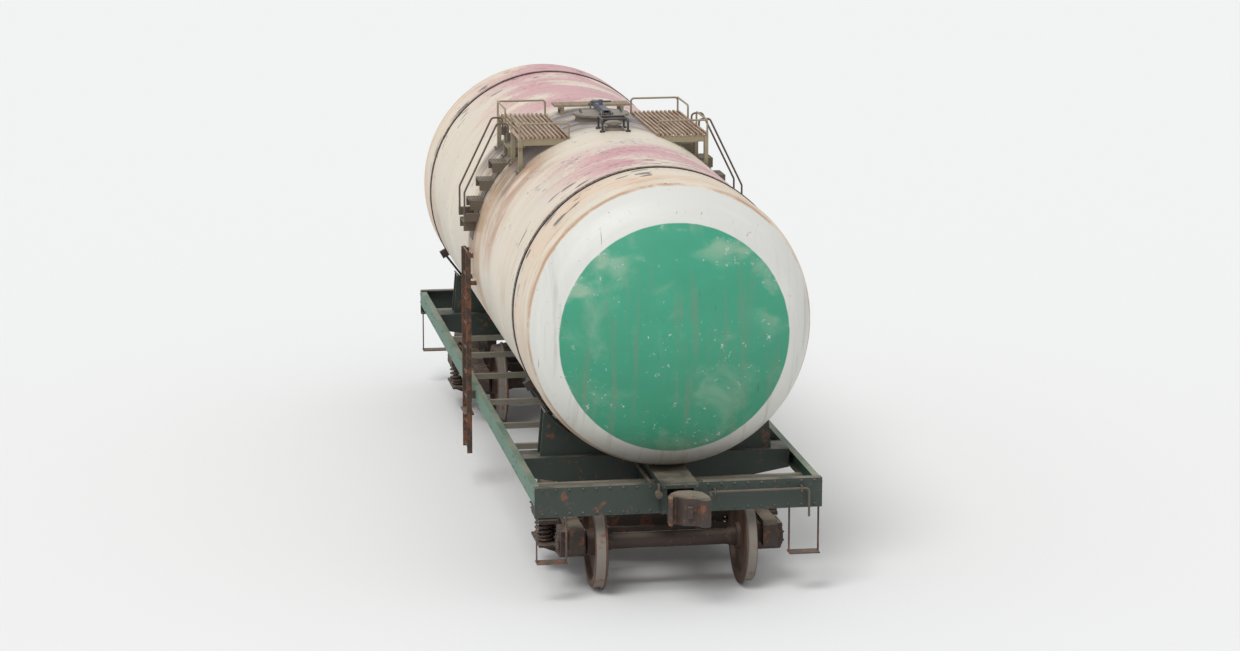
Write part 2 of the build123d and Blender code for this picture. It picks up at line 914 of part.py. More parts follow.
# Side sills: channels with their flanges inward
end_flange = 80
for side_name, side in SIDES:
    with BuildPart() as side_sill:
        half_side_sill = half_beam_length - end_plate
        with BuildSketch(cross_plane(-half_side_sill)):
            with Locations((side * (half_frame_width - side_sill_flange / 2), side_sill_top_z)):
                Rectangle(side_sill_flange, side_sill_depth, align=(Align.CENTER, Align.MAX))
            with Locations((
                side * (half_frame_width - (side_sill_flange + side_sill_plate) / 2),
                side_sill_top_z - side_sill_plate,
            )):
                Rectangle(
                    side_sill_flange - side_sill_plate,
                    side_sill_depth - 2 * side_sill_plate,
                    align=(Align.CENTER, Align.MAX),
                    mode=Mode.SUBTRACT,
                )
        extrude(amount=2 * half_side_sill)
    keep(side_sill, f"side_sill_{side_name}")

# End beams: channels across the ends with the coupler's striker
coupler_opening_half_width = 140
coupler_opening_half_height = 115
striker_reach = 70
striker_wall = 55
striker_half_height = 150

for end_name, end in ENDS:
    with BuildPart() as end_beam:
        block(
            (end * (half_beam_length - end_plate / 2), 0, sill_bottom_z),
            end_plate,
            2 * half_frame_width,
            2 * sill_half_depth,
            Align.MIN,
        )
        # Flanges outside the sills, each from the height of its underside
        for flange_z in (sill_bottom_z, sill_top_z - sill_plate):
            for side in (-1, 1):
                flange_length = half_frame_width - sill_flange_y
                block(
                    (
                        end * (half_beam_length - end_plate - end_flange / 2),
                        side * (sill_flange_y + flange_length / 2),
                        flange_z,
                    ),
                    end_flange,
                    flange_length,
                    sill_plate,
                    Align.MIN,
                )
        block(
            (end * (half_beam_length + striker_reach / 2), 0, coupler_z),
            striker_reach,
            2 * (coupler_opening_half_width + striker_wall),
            2 * striker_half_height,
        )
        block(
            (end * half_beam_length, 0, coupler_z),
            4 * striker_reach,
            2 * coupler_opening_half_width,
            2 * coupler_opening_half_height,
            mode=Mode.SUBTRACT,
        )
        round_bar(
            end * half_beam_length - 2 * end_plate,
            end * half_beam_length + 2 * end_plate,
            brake_pipe_y,
            brake_pipe_z,
            pipe_hole_radius,
            Mode.SUBTRACT,
        )
        # Room for the side sills' ends
        for side in (-1, 1):
            block(
                (
                    end * (half_beam_length - end_plate - end_flange / 2),
                    side * (half_frame_width - side_sill_flange / 2),
                    side_sill_top_z,
                ),
                end_flange,
                side_sill_flange,
                side_sill_depth,
                Align.MAX,
                Mode.SUBTRACT,
            )
    keep(end_beam, f"end_beam_{end_name}")

# Draft gear inside the sill's ends: absorber, yoke with the coupler's pin, carrier plate
coupler_pivot_x = half_beam_length - 250
yoke_half_width = 100
yoke_plate = 26
yoke_end = 80
yoke_gap = 6
shank_half_height = 80
shank_half_width = 62
coupler_pin_radius = 38
absorber_end_x = coupler_pivot_x - 170
absorber_length = 630
absorber_height = 240
carrier_plate = 14

with BuildPart() as draft_gears:
    for end in (-1, 1):
        absorber_place = (end * (absorber_end_x - absorber_length / 2), 0, sill_bottom_z)
        absorber_width = 2 * (sill_web_y - seat_gap)
        block(absorber_place, absorber_length, absorber_width, absorber_height, Align.MIN)
        block(absorber_place, absorber_length, 2 * sill_flange_y, carrier_plate, Align.MAX)
        yoke_end_x = coupler_pivot_x + yoke_end
        for level in (-1, 1):
            block(
                (
                    end * (absorber_end_x + yoke_end_x) / 2,
                    0,
                    coupler_z + level * (shank_half_height + yoke_gap + yoke_plate / 2),
                ),
                yoke_end_x - absorber_end_x,
                2 * yoke_half_width,
                yoke_plate,
            )
        with BuildSketch(Plane.XY.offset(coupler_z)):
            with Locations((end * coupler_pivot_x, 0)):
                Circle(coupler_pin_radius)
        extrude(amount=shank_half_height + yoke_gap + yoke_plate, both=True)
keep(draft_gears, "draft_gears")

# Couplers: a shank with a pinned tail and a head whose outline meets its own half turn
coupling_x = half_beam_length + 610
head_half_height = 145
head_back = -340
head_corner = 12
head_chamfer = 6
lock_half_height = 60
lock_length = 90
lock_width = 50
tail_radius = shank_half_width + 12
# Outline of the head in front of the shank: distance past the coupling line, side
HEAD_OUTLINE = (
    (head_back, 62),
    (-250, 175),
    (-60, 215),
    (70, 205),
    (105, 165),
    (105, 118),
    (15, 62),
    (-15, -62),
    (-105, -118),
    (-105, -150),
    (-20, -172),
    (-30, -212),
    (-150, -205),
    (-260, -150),
    (head_back, -62),
)

for end_name, end in ENDS:
    head_plane = Plane(origin=(end * coupling_x, 0, coupler_z), x_dir=(end, 0, 0), z_dir=(0, 0, 1))
    with BuildPart() as coupler:
        with BuildSketch(head_plane) as head_face:
            with BuildLine():
                Polyline(*HEAD_OUTLINE, close=True)
            make_face()
            fillet(head_face.vertices(), head_corner)
        extrude(amount=head_half_height, both=True)
        for level in (-1, 1):
            rim = coupler.faces().sort_by(Axis.Z)[0 if level == -1 else -1].edges()
            chamfer(rim, head_chamfer)
        with BuildSketch(head_plane):
            shank_length = coupling_x - coupler_pivot_x + head_back
            with Locations((head_back - shank_length / 2, 0)):
                Rectangle(shank_length + 2 * head_corner, 2 * shank_half_width)
            with Locations((coupler_pivot_x - coupling_x, 0)):
                Circle(tail_radius)
        extrude(amount=shank_half_height, both=True)
        # Lock in the throat
        block((end * (coupling_x - 5), 0, coupler_z), lock_length, lock_width, 2 * lock_half_height)
        with BuildSketch(head_plane):
            with Locations((coupler_pivot_x - coupling_x, 0)):
                Circle(coupler_pin_radius + running_gap)
        extrude(amount=2 * shank_half_height, both=True, mode=Mode.SUBTRACT)
    keep(coupler, f"coupler_{end_name}")

# Uncoupling levers in front of the end beams
lever_out = 60
lever_x = half_beam_length + lever_out
lever_z = coupler_z + 62
lever_radius = 12
lever_outer_y = half_frame_width - 150
lever_inner_y = 300
lever_drop = 300
lever_reach = 120
lever_bend = 40
lever_ear = 14
lever_ear_height = 60

with BuildPart() as uncoupling_levers:
    for end in (-1, 1):
        with BuildLine() as lever_line:
            FilletPolyline(
                (end * lever_x, end * lever_outer_y, lever_z - lever_drop),
                (end * lever_x, end * lever_outer_y, lever_z),
                (end * lever_x, end * lever_inner_y, lever_z),
                (end * (lever_x + lever_reach), end * lever_inner_y, lever_z),
                radius=lever_bend,
            )
        with BuildSketch(Plane.XY.offset(lever_z - lever_drop)):
            with Locations((end * lever_x, end * lever_outer_y)):
                Circle(lever_radius)
        sweep(path=lever_line.wires()[0])
        for ear_side_y in (lever_inner_y + 1.5 * lever_bend, lever_outer_y - 2 * lever_bend):
            block(
                (end * (half_beam_length + (lever_out + 20) / 2), end * ear_side_y, lever_z),
                lever_out + 20,
                lever_ear,
                lever_ear_height,
            )
keep(uncoupling_levers, "uncoupling_levers")

# Corner steps under the end beams
corner_step_width = 320
corner_step_y = half_frame_width - 180
corner_step_z = 440
corner_tread = 160
hanger_bar = 40
hanger_plate = 12

with BuildPart() as corner_steps:
    for end in (-1, 1):
        for side in (-1, 1):
            step_x = end * (half_beam_length - end_plate - end_flange / 2)
            hanger_height = sill_bottom_z - corner_step_z
            with BuildSketch(cross_plane(step_x, side * corner_step_y, corner_step_z)):
                Rectangle(
                    corner_step_width, hanger_height, align=(Align.CENTER, Align.MIN)
                )
                with Locations((0, hanger_plate)):
                    Rectangle(
                        corner_step_width - 2 * hanger_plate,
                        hanger_height,
                        align=(Align.CENTER, Align.MIN),
                        mode=Mode.SUBTRACT,
                    )
            extrude(amount=hanger_bar / 2, both=True)
            block(
                (step_x, side * corner_step_y, corner_step_z),
                corner_tread,
                corner_step_width,
                hanger_plate,
                Align.MIN,
            )
keep(corner_steps, "corner_steps")

# Bottom discharge valve with its clamped cap
discharge_top_z = sill_top_z + 47
outlet_z = sill_top_z - 501
clamp_z = outlet_z - 42
clamp_bar = 50
clamp_length = 330
clamp_bolt_y = 155
clamp_screw_radius = 16
clamp_screw_drop = 70
# Each stage from the top down: radius, height of its bottom above the outlet, thickness
DISCHARGE_STAGES = ((150, 509, 39), (110, 28, 520), (145, 28, 30), (135, 0, 28))

with BuildPart() as discharge_valve:
    for radius, rise, thickness in DISCHARGE_STAGES:
        with Locations((0, 0, outlet_z + rise)):
            Cylinder(radius, thickness, align=(Align.CENTER, Align.CENTER, Align.MIN))
    block((0, 0, clamp_z), clamp_bar, clamp_length, outlet_z - clamp_z, Align.MIN)
    for side in (-1, 1):
        block((0, side * clamp_bolt_y, clamp_z), 30, 20, 100, Align.MIN)
    with Locations((0, 0, clamp_z - clamp_screw_drop)):
        Cylinder(
            clamp_screw_radius,
            clamp_screw_drop + 5,
            align=(Align.CENTER, Align.CENTER, Align.MIN),
        )
    block((0, 0, clamp_z - clamp_screw_drop), 140, 18, 18, Align.MIN)
    cut_by_tank()
keep(discharge_valve, "discharge_valve")

# Brake cylinder beside the sill
cylinder_x = 1200
cylinder_y = 480
brake_z = coupler_z - 188
cylinder_radius = 178
cylinder_half_length = 300
cover_plate = 30
cover_lip = 22
rod_inner_x = 700
lever_half_width = 30
push_rod_radius = 24
mount_height = 60

with BuildPart() as brake_cylinder:
    round_bar(
        cylinder_x - cylinder_half_length,
        cylinder_x + cylinder_half_length,
        cylinder_y,
        brake_z,
        cylinder_radius,
    )
    for cover_end in (-1, 1):
        cover_x = cylinder_x + cover_end * cylinder_half_length
        round_bar(
            cover_x - cover_end * cover_plate, cover_x, cylinder_y, brake_z, cylinder_radius + cover_lip
        )
    round_bar(
        rod_inner_x + lever_half_width,
        cylinder_x - cylinder_half_length,
        cylinder_y,
        brake_z,
        push_rod_radius,
    )
    mount_inner_y = sill_web_y + sill_plate
    block(
        (cylinder_x, (mount_inner_y + cylinder_y) / 2, brake_z + 110),
        cylinder_half_length,
        cylinder_y - mount_inner_y,
        mount_height,
    )
keep(brake_cylinder, "brake_cylinder")

# Air reservoir on the other side
reservoir_x = -1300
reservoir_y = -480
reservoir_z = coupler_z - 128
reservoir_radius = 200
reservoir_half_length = 420
reservoir_dish = 100
reservoir_bracket_x = 250

with BuildPart() as air_reservoir:
    with BuildSketch(side_plane(reservoir_x, reservoir_y, reservoir_z)):
        with BuildLine():
            end_middle = reservoir_half_length + dish_rise(reservoir_radius, reservoir_dish)
            reservoir_tip = reservoir_half_length + reservoir_dish
            Line((0, reservoir_radius), (reservoir_half_length, reservoir_radius))
            ThreePointArc(
                (reservoir_half_length, reservoir_radius),
                (end_middle, reservoir_radius / 2),
                (reservoir_tip, 0),
            )
            mirror(about=Plane.YZ)
            Line((reservoir_tip, 0), (-reservoir_tip, 0))
        make_face()
    revolve(axis=Axis((reservoir_x, reservoir_y, reservoir_z), (1, 0, 0)))
    for bracket_end in (-1, 1):
        block(
            (
                reservoir_x + bracket_end * reservoir_bracket_x,
                (reservoir_y - mount_inner_y) / 2,
                reservoir_z + 90,
            ),
            mount_height,
            -reservoir_y - mount_inner_y,
            mount_height,
        )
keep(air_reservoir, "air_reservoir")

# Air distributor on its bracket: a block with a round chamber on each side
distributor_x = 1250
distributor_y = -420
distributor_z = coupler_z - 78
distributor_length = 200
distributor_width = 180
distributor_height = 220
chamber_radius = 75
chamber_reach = 100

with BuildPart() as air_distributor:
    block(
        (distributor_x, distributor_y, distributor_z),
        distributor_length,
        distributor_width,
        distributor_height,
    )
    round_bar(
        distributor_x - distributor_length / 2 - chamber_reach,
        distributor_x + distributor_length / 2 + chamber_reach,
        distributor_y,
        distributor_z,
        chamber_radius,
    )
    bracket_outer_y = distributor_y + distributor_width / 2
    block(
        (distributor_x, (bracket_outer_y - mount_inner_y) / 2, distributor_z + 50),
        120,
        -mount_inner_y - bracket_outer_y,
        80,
    )
keep(air_distributor, "air_distributor")

# Brake pipe from end to end with its end cocks and clamps
pipe_end_x = half_beam_length + 160
pipe_clamp_xs = (half_beam_length - 400, bogie_half_spacing - 900, 1000)
cock_radius = 36
cock_half_length = 45
cock_back = 50
cock_handle = 110

with BuildPart() as brake_pipe:
    round_bar(-pipe_end_x, pipe_end_x, brake_pipe_y, brake_pipe_z, pipe_radius)
    for end in (-1, 1):
        cock_x = pipe_end_x - cock_back
        round_bar(
            end * (cock_x - cock_half_length),
            end * (cock_x + cock_half_length),
            brake_pipe_y,
            brake_pipe_z,
            cock_radius,
        )
        block((end * cock_x, brake_pipe_y, brake_pipe_z), 30, 18, cock_handle, Align.MIN)
        for clamp_x in pipe_clamp_xs:
            block(
                (end * clamp_x, (mount_inner_y + brake_pipe_y) / 2, brake_pipe_z),
                40,
                brake_pipe_y - mount_inner_y,
                50,
            )
keep(brake_pipe, "brake_pipe")

# Brake rods and levers under the sill, hung from its flanges
main_rod_y = 225
main_rod_radius = 16
rod_end_x = bogie_half_spacing - 650
rod_eye_length = 90
rod_eye_width = 60
rod_eye_height = 40
lever_plate = 16
tie_rod_y = cylinder_y - 120
tie_rod_radius = 14
hanger_drop = 30

with BuildPart() as brake_rods:
    for end in (-1, 1):
        rod_y = end * main_rod_y
        round_bar(end * rod_inner_x, end * rod_end_x, rod_y, brake_z, main_rod_radius)
        block(
            (end * rod_inner_x, (cylinder_y - main_rod_y) / 2, brake_z),
            2 * lever_half_width,
            cylinder_y + main_rod_y,
            lever_plate,
        )
        for share in (0.4, 0.8):
            hanger_x = rod_inner_x + share * (rod_end_x - rod_inner_x)
            block(
                (end * hanger_x, rod_y, sill_bottom_z),
                hanger_drop,
                hanger_drop / 2,
                sill_bottom_z - brake_z + hanger_drop,
                Align.MAX,
            )
        block(
            (end * (rod_end_x + rod_eye_length / 4), rod_y, brake_z),
            rod_eye_length,
            rod_eye_width,
            rod_eye_height,
        )
    round_bar(-rod_inner_x, rod_inner_x, tie_rod_y, brake_z, tie_rod_radius)
keep(brake_rods, "brake_rods")

# Hand brake wheel on the right-hand side sill
hand_wheel_x = 1900
hand_wheel_y = -half_frame_width - 100
hand_wheel_z = side_sill_top_z - 230
hand_wheel_radius = 190
wheel_rim_radius = 13
spoke_width = 24
spoke_thickness = 14
wheel_hub_radius = 35
wheel_shaft_radius = 18
brake_bracket_length = 120
brake_bracket_width = 50

with BuildPart() as hand_brake:
    with BuildSketch(Plane(
        origin=(hand_wheel_x, hand_wheel_y, hand_wheel_z), x_dir=(1, 0, 0), z_dir=(0, 0, 1)
    )):
        with Locations((hand_wheel_radius, 0)):
            Circle(wheel_rim_radius)
    revolve(axis=Axis((hand_wheel_x, hand_wheel_y, hand_wheel_z), (0, 1, 0)))
    with Locations(Location((hand_wheel_x, hand_wheel_y, hand_wheel_z), (90, 0, 0))):
        for turn in (0, 90):
            with Locations(Location((0, 0, 0), (0, 0, turn))):
                Box(2 * hand_wheel_radius, spoke_width, spoke_thickness)
        Cylinder(wheel_hub_radius, wheel_hub_radius)
    with BuildSketch(side_plane(hand_wheel_x, hand_wheel_y, hand_wheel_z)):
        Circle(wheel_shaft_radius)
    extrude(amount=hand_wheel_y + half_frame_width)
    bracket_bottom_z = hand_wheel_z - 60
    bracket_height = side_sill_top_z + 10 - bracket_bottom_z
    with Locations((hand_wheel_x, -half_frame_width, bracket_bottom_z)):
        Box(
            brake_bracket_length,
            brake_bracket_width,
            bracket_height,
            align=(Align.CENTER, Align.MAX, Align.MIN),
        )
keep(hand_brake, "hand_brake")

# Bogies
frame_top = 262
frame_corner = 34
frame_rib = 26
frame_pocket = 52
jaw_half_width = 165
jaw_top = 160
jaw_wall = 62
jaw_leg = 125
jaw_leg_bottom = -45
window_half_width = 305
window_top = 170
spring_seat_top = -190
spring_seat_plate = 24
frame_bottom = -290
frame_column = 90
spring_radius = 92
spring_rise = 37
spring_half_width = 270
spring_spread = 100
spring_row = 173
box_radius = 150
box_inner_y = 905
box_length = 265
box_cover_radius = 112
box_cover_plate = 20
box_clearance = 5
shoe_gap = 8
shoe_thickness = 60
shoe_half_width = 40
shoe_half_angle = 20
shoe_drop_angle = 4
beam_bar = 56
beam_drop = 30
truss_bar = 34
truss_reach = 62
bogie_bolster_half_length = 240
bearer_pad = 200
pivot_bowl_radius = 215
pivot_bowl_floor = 49
pivot_bowl_wall = 21
frame_end_x = half_wheelbase + jaw_half_width + jaw_leg
spring_top_z = axle_z + spring_rise
shoe_y = half_back_to_back + rim_width / 2 + 17
# Springs of one nest, in spring spreads along the car and rows across it
SPRING_PLACES = ((-1, -1), (1, -1), (-2, 0), (0, 0), (2, 0), (-1, 1), (1, 1))
# Upper half outline of the bogie's bolster: distance from the middle, height above the springs
BOLSTER_OUTLINE = (
    (0, 260),
    (300, 260),
    (640, 210),
    (925, 126),
    (1290, 126),
    (1290, 0),
    (740, 0),
    (420, -90),
    (0, -90),
)

wheelset_number = 0
for end_name, end in ENDS:
    bogie_x = end * bogie_half_spacing

    with BuildPart() as side_frames:
        for side in (-1, 1):
            frame_plane = side_plane(bogie_x, side * side_frame_y, axle_z)
            with BuildSketch(frame_plane) as frame_face:
                with BuildLine():
                    Polyline(
                        (0, frame_top),
                        (0.46 * half_wheelbase, frame_top),
                        (half_wheelbase - jaw_half_width, jaw_top + jaw_wall),
                        (frame_end_x - 40, jaw_top + jaw_wall),
                        (frame_end_x, jaw_top + jaw_wall - 42),
                        (frame_end_x, jaw_leg_bottom),
                        (half_wheelbase + jaw_half_width, jaw_leg_bottom),
                        (half_wheelbase + jaw_half_width, jaw_top),
                        (half_wheelbase - jaw_half_width, jaw_top),
                        (half_wheelbase - jaw_half_width, jaw_leg_bottom - 55),
                        (0.45 * half_wheelbase, frame_bottom),
                        (0, frame_bottom),
                    )
                    mirror(about=Plane.YZ)
                make_face()
                # Middle window for the springs and a slanted one on each side of it
                with Locations((0, (window_top + spring_seat_top) / 2)):
                    Rectangle(
                        2 * window_half_width,
                        window_top - spring_seat_top,
                        mode=Mode.SUBTRACT,
                    )
                slant_inner = window_half_width + frame_column
                slant_outer = half_wheelbase - jaw_half_width - frame_column
                for half in (-1, 1):
                    with BuildLine():
                        Polyline(
                            (half * slant_inner, window_top - 5),
                            (half * slant_outer, jaw_top - 25),
                            (half * (slant_outer + 15), jaw_leg_bottom - 10),
                            (half * slant_inner, spring_seat_top - 15),
                            close=True,
                        )
                    make_face(mode=Mode.SUBTRACT)
                # The spring seat's corners stay square, to leave room for the outer springs
                soft_corners = [
                    corner
                    for corner in frame_face.vertices()
                    if 1 < abs(corner.X) < half_wheelbase - jaw_half_width - 1
                    and abs(corner.Y - spring_seat_top) > 1
                ]
                fillet(soft_corners, frame_corner)
            extrude(amount=side_frame_thickness / 2, both=True)
            # Pockets that leave a rib along every edge, as on a casting
            for face in (-1, 1):
                with BuildSketch(frame_plane.offset(face * side_frame_thickness / 2)):
                    add(frame_face.sketch_local)
                    offset(amount=-frame_rib, kind=Kind.INTERSECTION)
                extrude(amount=-face * frame_pocket, mode=Mode.SUBTRACT)
            # Spring seat with gussets under it
            seat_z = axle_z + spring_seat_top
            block(
                (bogie_x, side * side_frame_y, seat_z),
                2 * (window_half_width - box_clearance),
                2 * spring_half_width,
                spring_seat_plate,
                Align.MAX,
            )
            for gusset_end in (-1, 1):
                gusset_x = bogie_x + gusset_end * 2 * spring_spread
                with BuildSketch(cross_plane(gusset_x, side * side_frame_y, seat_z)):
                    with BuildLine():
                        Polyline(
                            (-spring_half_width, -spring_seat_plate),
                            (spring_half_width, -spring_seat_plate),
                            (side_frame_thickness / 2, frame_bottom - spring_seat_top),
                            (-side_frame_thickness / 2, frame_bottom - spring_seat_top),
                            close=True,
                        )
                    make_face()
                extrude(amount=spring_seat_plate / 2, both=True)
    keep(side_frames, f"bogie_{end_name}_side_frames")

    with BuildPart() as bogie_bolster:
        with BuildSketch(cross_plane(bogie_x, 0, spring_top_z)):
            with BuildLine():
                Polyline(*BOLSTER_OUTLINE)
                mirror(about=Plane.YZ)
            make_face()
            # Lightening holes through the webs
            with Locations((-480, 90), (480, 90)):
                SlotOverall(230, 90, mode=Mode.SUBTRACT)
        extrude(amount=bogie_bolster_half_length, both=True)
        for side in (-1, 1):
            block(
                (bogie_x, side * side_frame_y, spring_top_z),
                2 * (window_half_width - 3 * box_clearance),
                2 * spring_half_width,
                40,
                Align.MIN,
            )
            block(
                (bogie_x, side * bearer_y, bogie_bearer_z),
                bearer_pad,
                bearer_width,
                2 * bearer_width,
                Align.MAX,
            )
        with Locations((bogie_x, 0, pivot_z - pivot_bowl_floor)):
            Cylinder(
                pivot_bowl_radius,
                pivot_bowl_floor + pivot_bowl_wall,
                align=(Align.CENTER, Align.CENTER, Align.MIN),
            )
        with Locations((bogie_x, 0, pivot_z)):
            Cylinder(
                centre_plate_radius + 3 * running_gap,
                2 * pivot_bowl_floor,
                align=(Align.CENTER, Align.CENTER, Align.MIN),
                mode=Mode.SUBTRACT,
            )
    keep(bogie_bolster, f"bogie_{end_name}_bolster")

    with BuildPart() as springs:
        for side in (-1, 1):
            with BuildSketch(Plane.XY.offset(axle_z + spring_seat_top)):
                with Locations([
                    (
                        bogie_x + spring_spread * along_step,
                        side * side_frame_y + spring_row * across_step,
                    )
                    for along_step, across_step in SPRING_PLACES
                ]):
                    Circle(spring_radius)
            extrude(amount=spring_rise - spring_seat_top)
    keep(springs, f"bogie_{end_name}_springs")

    with BuildPart() as axle_boxes:
        for axle_end in (-1, 1):
            box_x = bogie_x + axle_end * half_wheelbase
            for side in (-1, 1):
                box_plane = side_plane(box_x, side * box_inner_y, axle_z)
                with BuildSketch(box_plane):
                    Circle(box_radius)
                    with Locations((0, jaw_top)):
                        Rectangle(
                            2 * (jaw_half_width - box_clearance),
                            jaw_top + 30,
                            align=(Align.CENTER, Align.MAX),
                        )
                extrude(amount=-side * box_length)
                with BuildSketch(box_plane):
                    Circle(box_cover_radius)
                extrude(amount=-side * (box_length + box_cover_plate))
                with BuildSketch(box_plane):
                    Circle(journal_radius + running_gap)
                extrude(
                    amount=-side * (axle_half_length + 3 * running_gap - box_inner_y),
                    mode=Mode.SUBTRACT,
                )
    keep(axle_boxes, f"bogie_{end_name}_axle_boxes")

    # Triangular brake beams with their shoes
    with BuildPart() as brake_beams:
        for axle_end in (-1, 1):
            wheel_x = bogie_x + axle_end * half_wheelbase
            shoe_back = tread_radius + shoe_gap + shoe_thickness
            beam_x = wheel_x - axle_end * (shoe_back + beam_bar / 2 - 4)
            beam_z = axle_z - beam_drop
            beam_half_length = side_frame_y - side_frame_thickness / 2
            for side in (-1, 1):
                with BuildSketch(side_plane(wheel_x, side * shoe_y, axle_z)):
                    with BuildLine():
                        middle = 180 if axle_end == 1 else 0
                        arc_band(
                            tread_radius + shoe_gap,
                            shoe_back,
                            middle + axle_end * shoe_drop_angle - shoe_half_angle,
                            2 * shoe_half_angle,
                        )
                    make_face()
                extrude(amount=shoe_half_width, both=True)
            block((beam_x, 0, beam_z), beam_bar, 2 * beam_half_length, beam_bar)
            with BuildSketch(Plane.XY.offset(beam_z)):
                for inset, part_mode in ((0, Mode.ADD), (truss_bar, Mode.SUBTRACT)):
                    with BuildLine():
                        Polyline(
                            (beam_x, shoe_y - 2 * inset),
                            (beam_x, -shoe_y + 2 * inset),
                            (beam_x - axle_end * (truss_reach - inset / 2), -truss_bar),
                            (beam_x - axle_end * (truss_reach - inset / 2), truss_bar),
                            close=True,
                        )
                    make_face(mode=part_mode)
            extrude(amount=truss_bar / 2, both=True)
    keep(brake_beams, f"bogie_{end_name}_brake_beams")

    for axle_end in (-1, 1):
        wheelset_number += 1
        wheelset_x = bogie_x + axle_end * half_wheelbase
        face = half_back_to_back
        hub_end = face + rim_width + 35
        with BuildPart() as wheelset:
            with BuildSketch(cross_plane(wheelset_x, 0, axle_z)):
                with BuildLine():
                    # Half of the wheelset: distance from the middle, radius
                    Polyline(
                        (0, 0),
                        (0, axle_radius),
                        (face - 120, axle_radius),
                        (face - 80, wheel_seat_radius),
                        (face - 20, wheel_seat_radius),
                        (face - 20, hub_radius - 10),
                        (face + 20, hub_radius),
                        (face + 44, rim_inner_radius - 15),
                        (face, rim_inner_radius),
                        (face, tread_radius + 12),
                        (face + 8, tread_radius + flange_height),
                        (face + 20, tread_radius + flange_height),
                        (face + 32, tread_radius + 10),
                        (face + 42, tread_radius + 1),
                        (face + rim_width - 8, tread_radius - 2),
                        (face + rim_width, tread_radius - 10),
                        (face + rim_width, rim_inner_radius),
                        (face + 80, rim_inner_radius - 15),
                        (face + 58, hub_radius),
                        (hub_end, hub_radius - 10),
                        (hub_end, wheel_seat_radius),
                        (hub_end + 5, journal_radius + 12),
                        (hub_end + 15, journal_radius),
                        (axle_half_length, journal_radius),
                        (axle_half_length, 0),
                        close=True,
                    )
                make_face()
            revolve(axis=Axis((wheelset_x, 0, axle_z), (0, 1, 0)))
            mirror(about=Plane.XZ)
        keep(wheelset, f"wheelset_{wheelset_number}")
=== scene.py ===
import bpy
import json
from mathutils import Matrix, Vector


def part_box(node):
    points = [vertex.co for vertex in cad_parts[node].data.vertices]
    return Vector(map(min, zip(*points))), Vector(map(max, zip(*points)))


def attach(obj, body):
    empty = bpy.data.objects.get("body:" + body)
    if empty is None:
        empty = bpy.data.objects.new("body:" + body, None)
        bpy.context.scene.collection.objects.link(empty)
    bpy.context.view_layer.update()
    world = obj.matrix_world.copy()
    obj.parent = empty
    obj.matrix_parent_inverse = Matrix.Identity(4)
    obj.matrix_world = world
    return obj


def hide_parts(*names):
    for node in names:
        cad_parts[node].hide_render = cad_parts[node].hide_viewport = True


bl_info = {
    "name": "Railway Tank Car",
    "version": (1, 0, 0),
    "blender": (4, 5, 0),
    "location": "3D View > Sidebar > Tank Car",
    "description": "Paint, rust, springs, bolts and studio for a four-axle petrol tank car",
    "category": "Object",
}

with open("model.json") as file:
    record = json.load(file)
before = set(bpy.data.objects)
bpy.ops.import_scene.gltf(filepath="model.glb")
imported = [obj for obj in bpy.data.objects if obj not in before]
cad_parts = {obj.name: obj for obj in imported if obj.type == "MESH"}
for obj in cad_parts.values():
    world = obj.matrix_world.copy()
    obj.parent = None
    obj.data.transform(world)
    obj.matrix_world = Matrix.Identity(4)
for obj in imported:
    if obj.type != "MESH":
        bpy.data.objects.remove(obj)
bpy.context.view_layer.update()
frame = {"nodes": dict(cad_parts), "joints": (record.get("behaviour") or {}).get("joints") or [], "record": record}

import json
import math
from functools import partial

import bmesh
import bpy
from mathutils import Matrix, Vector

# Places that the packed model gives, in metres
tank_low, tank_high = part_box("tank_shell")
TANK_RADIUS = (tank_high.z - tank_low.z) / 2
TANK_Z = (tank_high.z + tank_low.z) / 2
CROWN_Z = tank_high.z
JOINTS = {joint["name"]: joint["pos_m"] for joint in frame["joints"]}
BOGIE_X = JOINTS["bogie_rear_turn"][0]
AXLE_Z = JOINTS["wheelset_4_roll"][2]
HALF_WHEELBASE = JOINTS["wheelset_4_roll"][0] - BOGIE_X
COUPLER_Z = JOINTS["coupler_rear_swing"][2]
lid_low, lid_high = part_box("hatch_lid")
HATCH_X = (lid_low.x + lid_high.x) / 2
LID_RADIUS = (lid_high.x - lid_low.x) / 2
VALVE_X = sum(corner.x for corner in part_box("safety_valve")) / 2
GUARD_TOP_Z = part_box("safety_valve")[1].z
BENCH_X = sum(corner.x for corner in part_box("bench_step")) / 2

# Sizes of the tank and of what stands on it
BARREL_HALF_LENGTH = 4.6285
NECK_RADIUS = 0.292
LID_PLATE = 0.020
LID_RIM = 0.006
RIM_STEPS = 60
RIM_SIDES = 8
HINGE_PIN_X = 0.4
HINGE_EAR_Y = 0.062
HINGE_PIN_RISE = 0.110
HANDLE_Y = 0.235
HANDLE_HALF_LENGTH = 0.055
HANDLE_RISE = 0.050
HANDLE_RADIUS = 0.007
HANDLE_SINK = 0.004
HANDLE_STEPS = 12
VALVE_CAP_RISE = 0.111
# Guard round the valve: half of the width inside it, its bars and its paint's reach along the car
GUARD_INSIDE = 0.126
GUARD_BAR = 0.028
GUARD_REACH = 0.40
# Nuts round the valve: circle's radius, height over the crown, count and first angle
VALVE_NUTS = ((0.092, 0.026, 8, 22.5), (0.136, 0.013, 4, 45))
# Seams along the barrel, in degrees round from its left side
LONG_SEAMS = (24, 156, -52, -128)
# Low bead of a weld: across and lift, in bead widths, and the ripple of the long ones
BEAD_PROFILE = ((-0.5, -0.15), (-0.3, 0.12), (0, 0.2), (0.3, 0.12), (0.5, -0.15))
BEAD_RIPPLE = 0.12
RIPPLE_TURN = 2.7
ROUND_STEPS = 120
SEAM_STEPS = 60
NECK_STEPS = 72

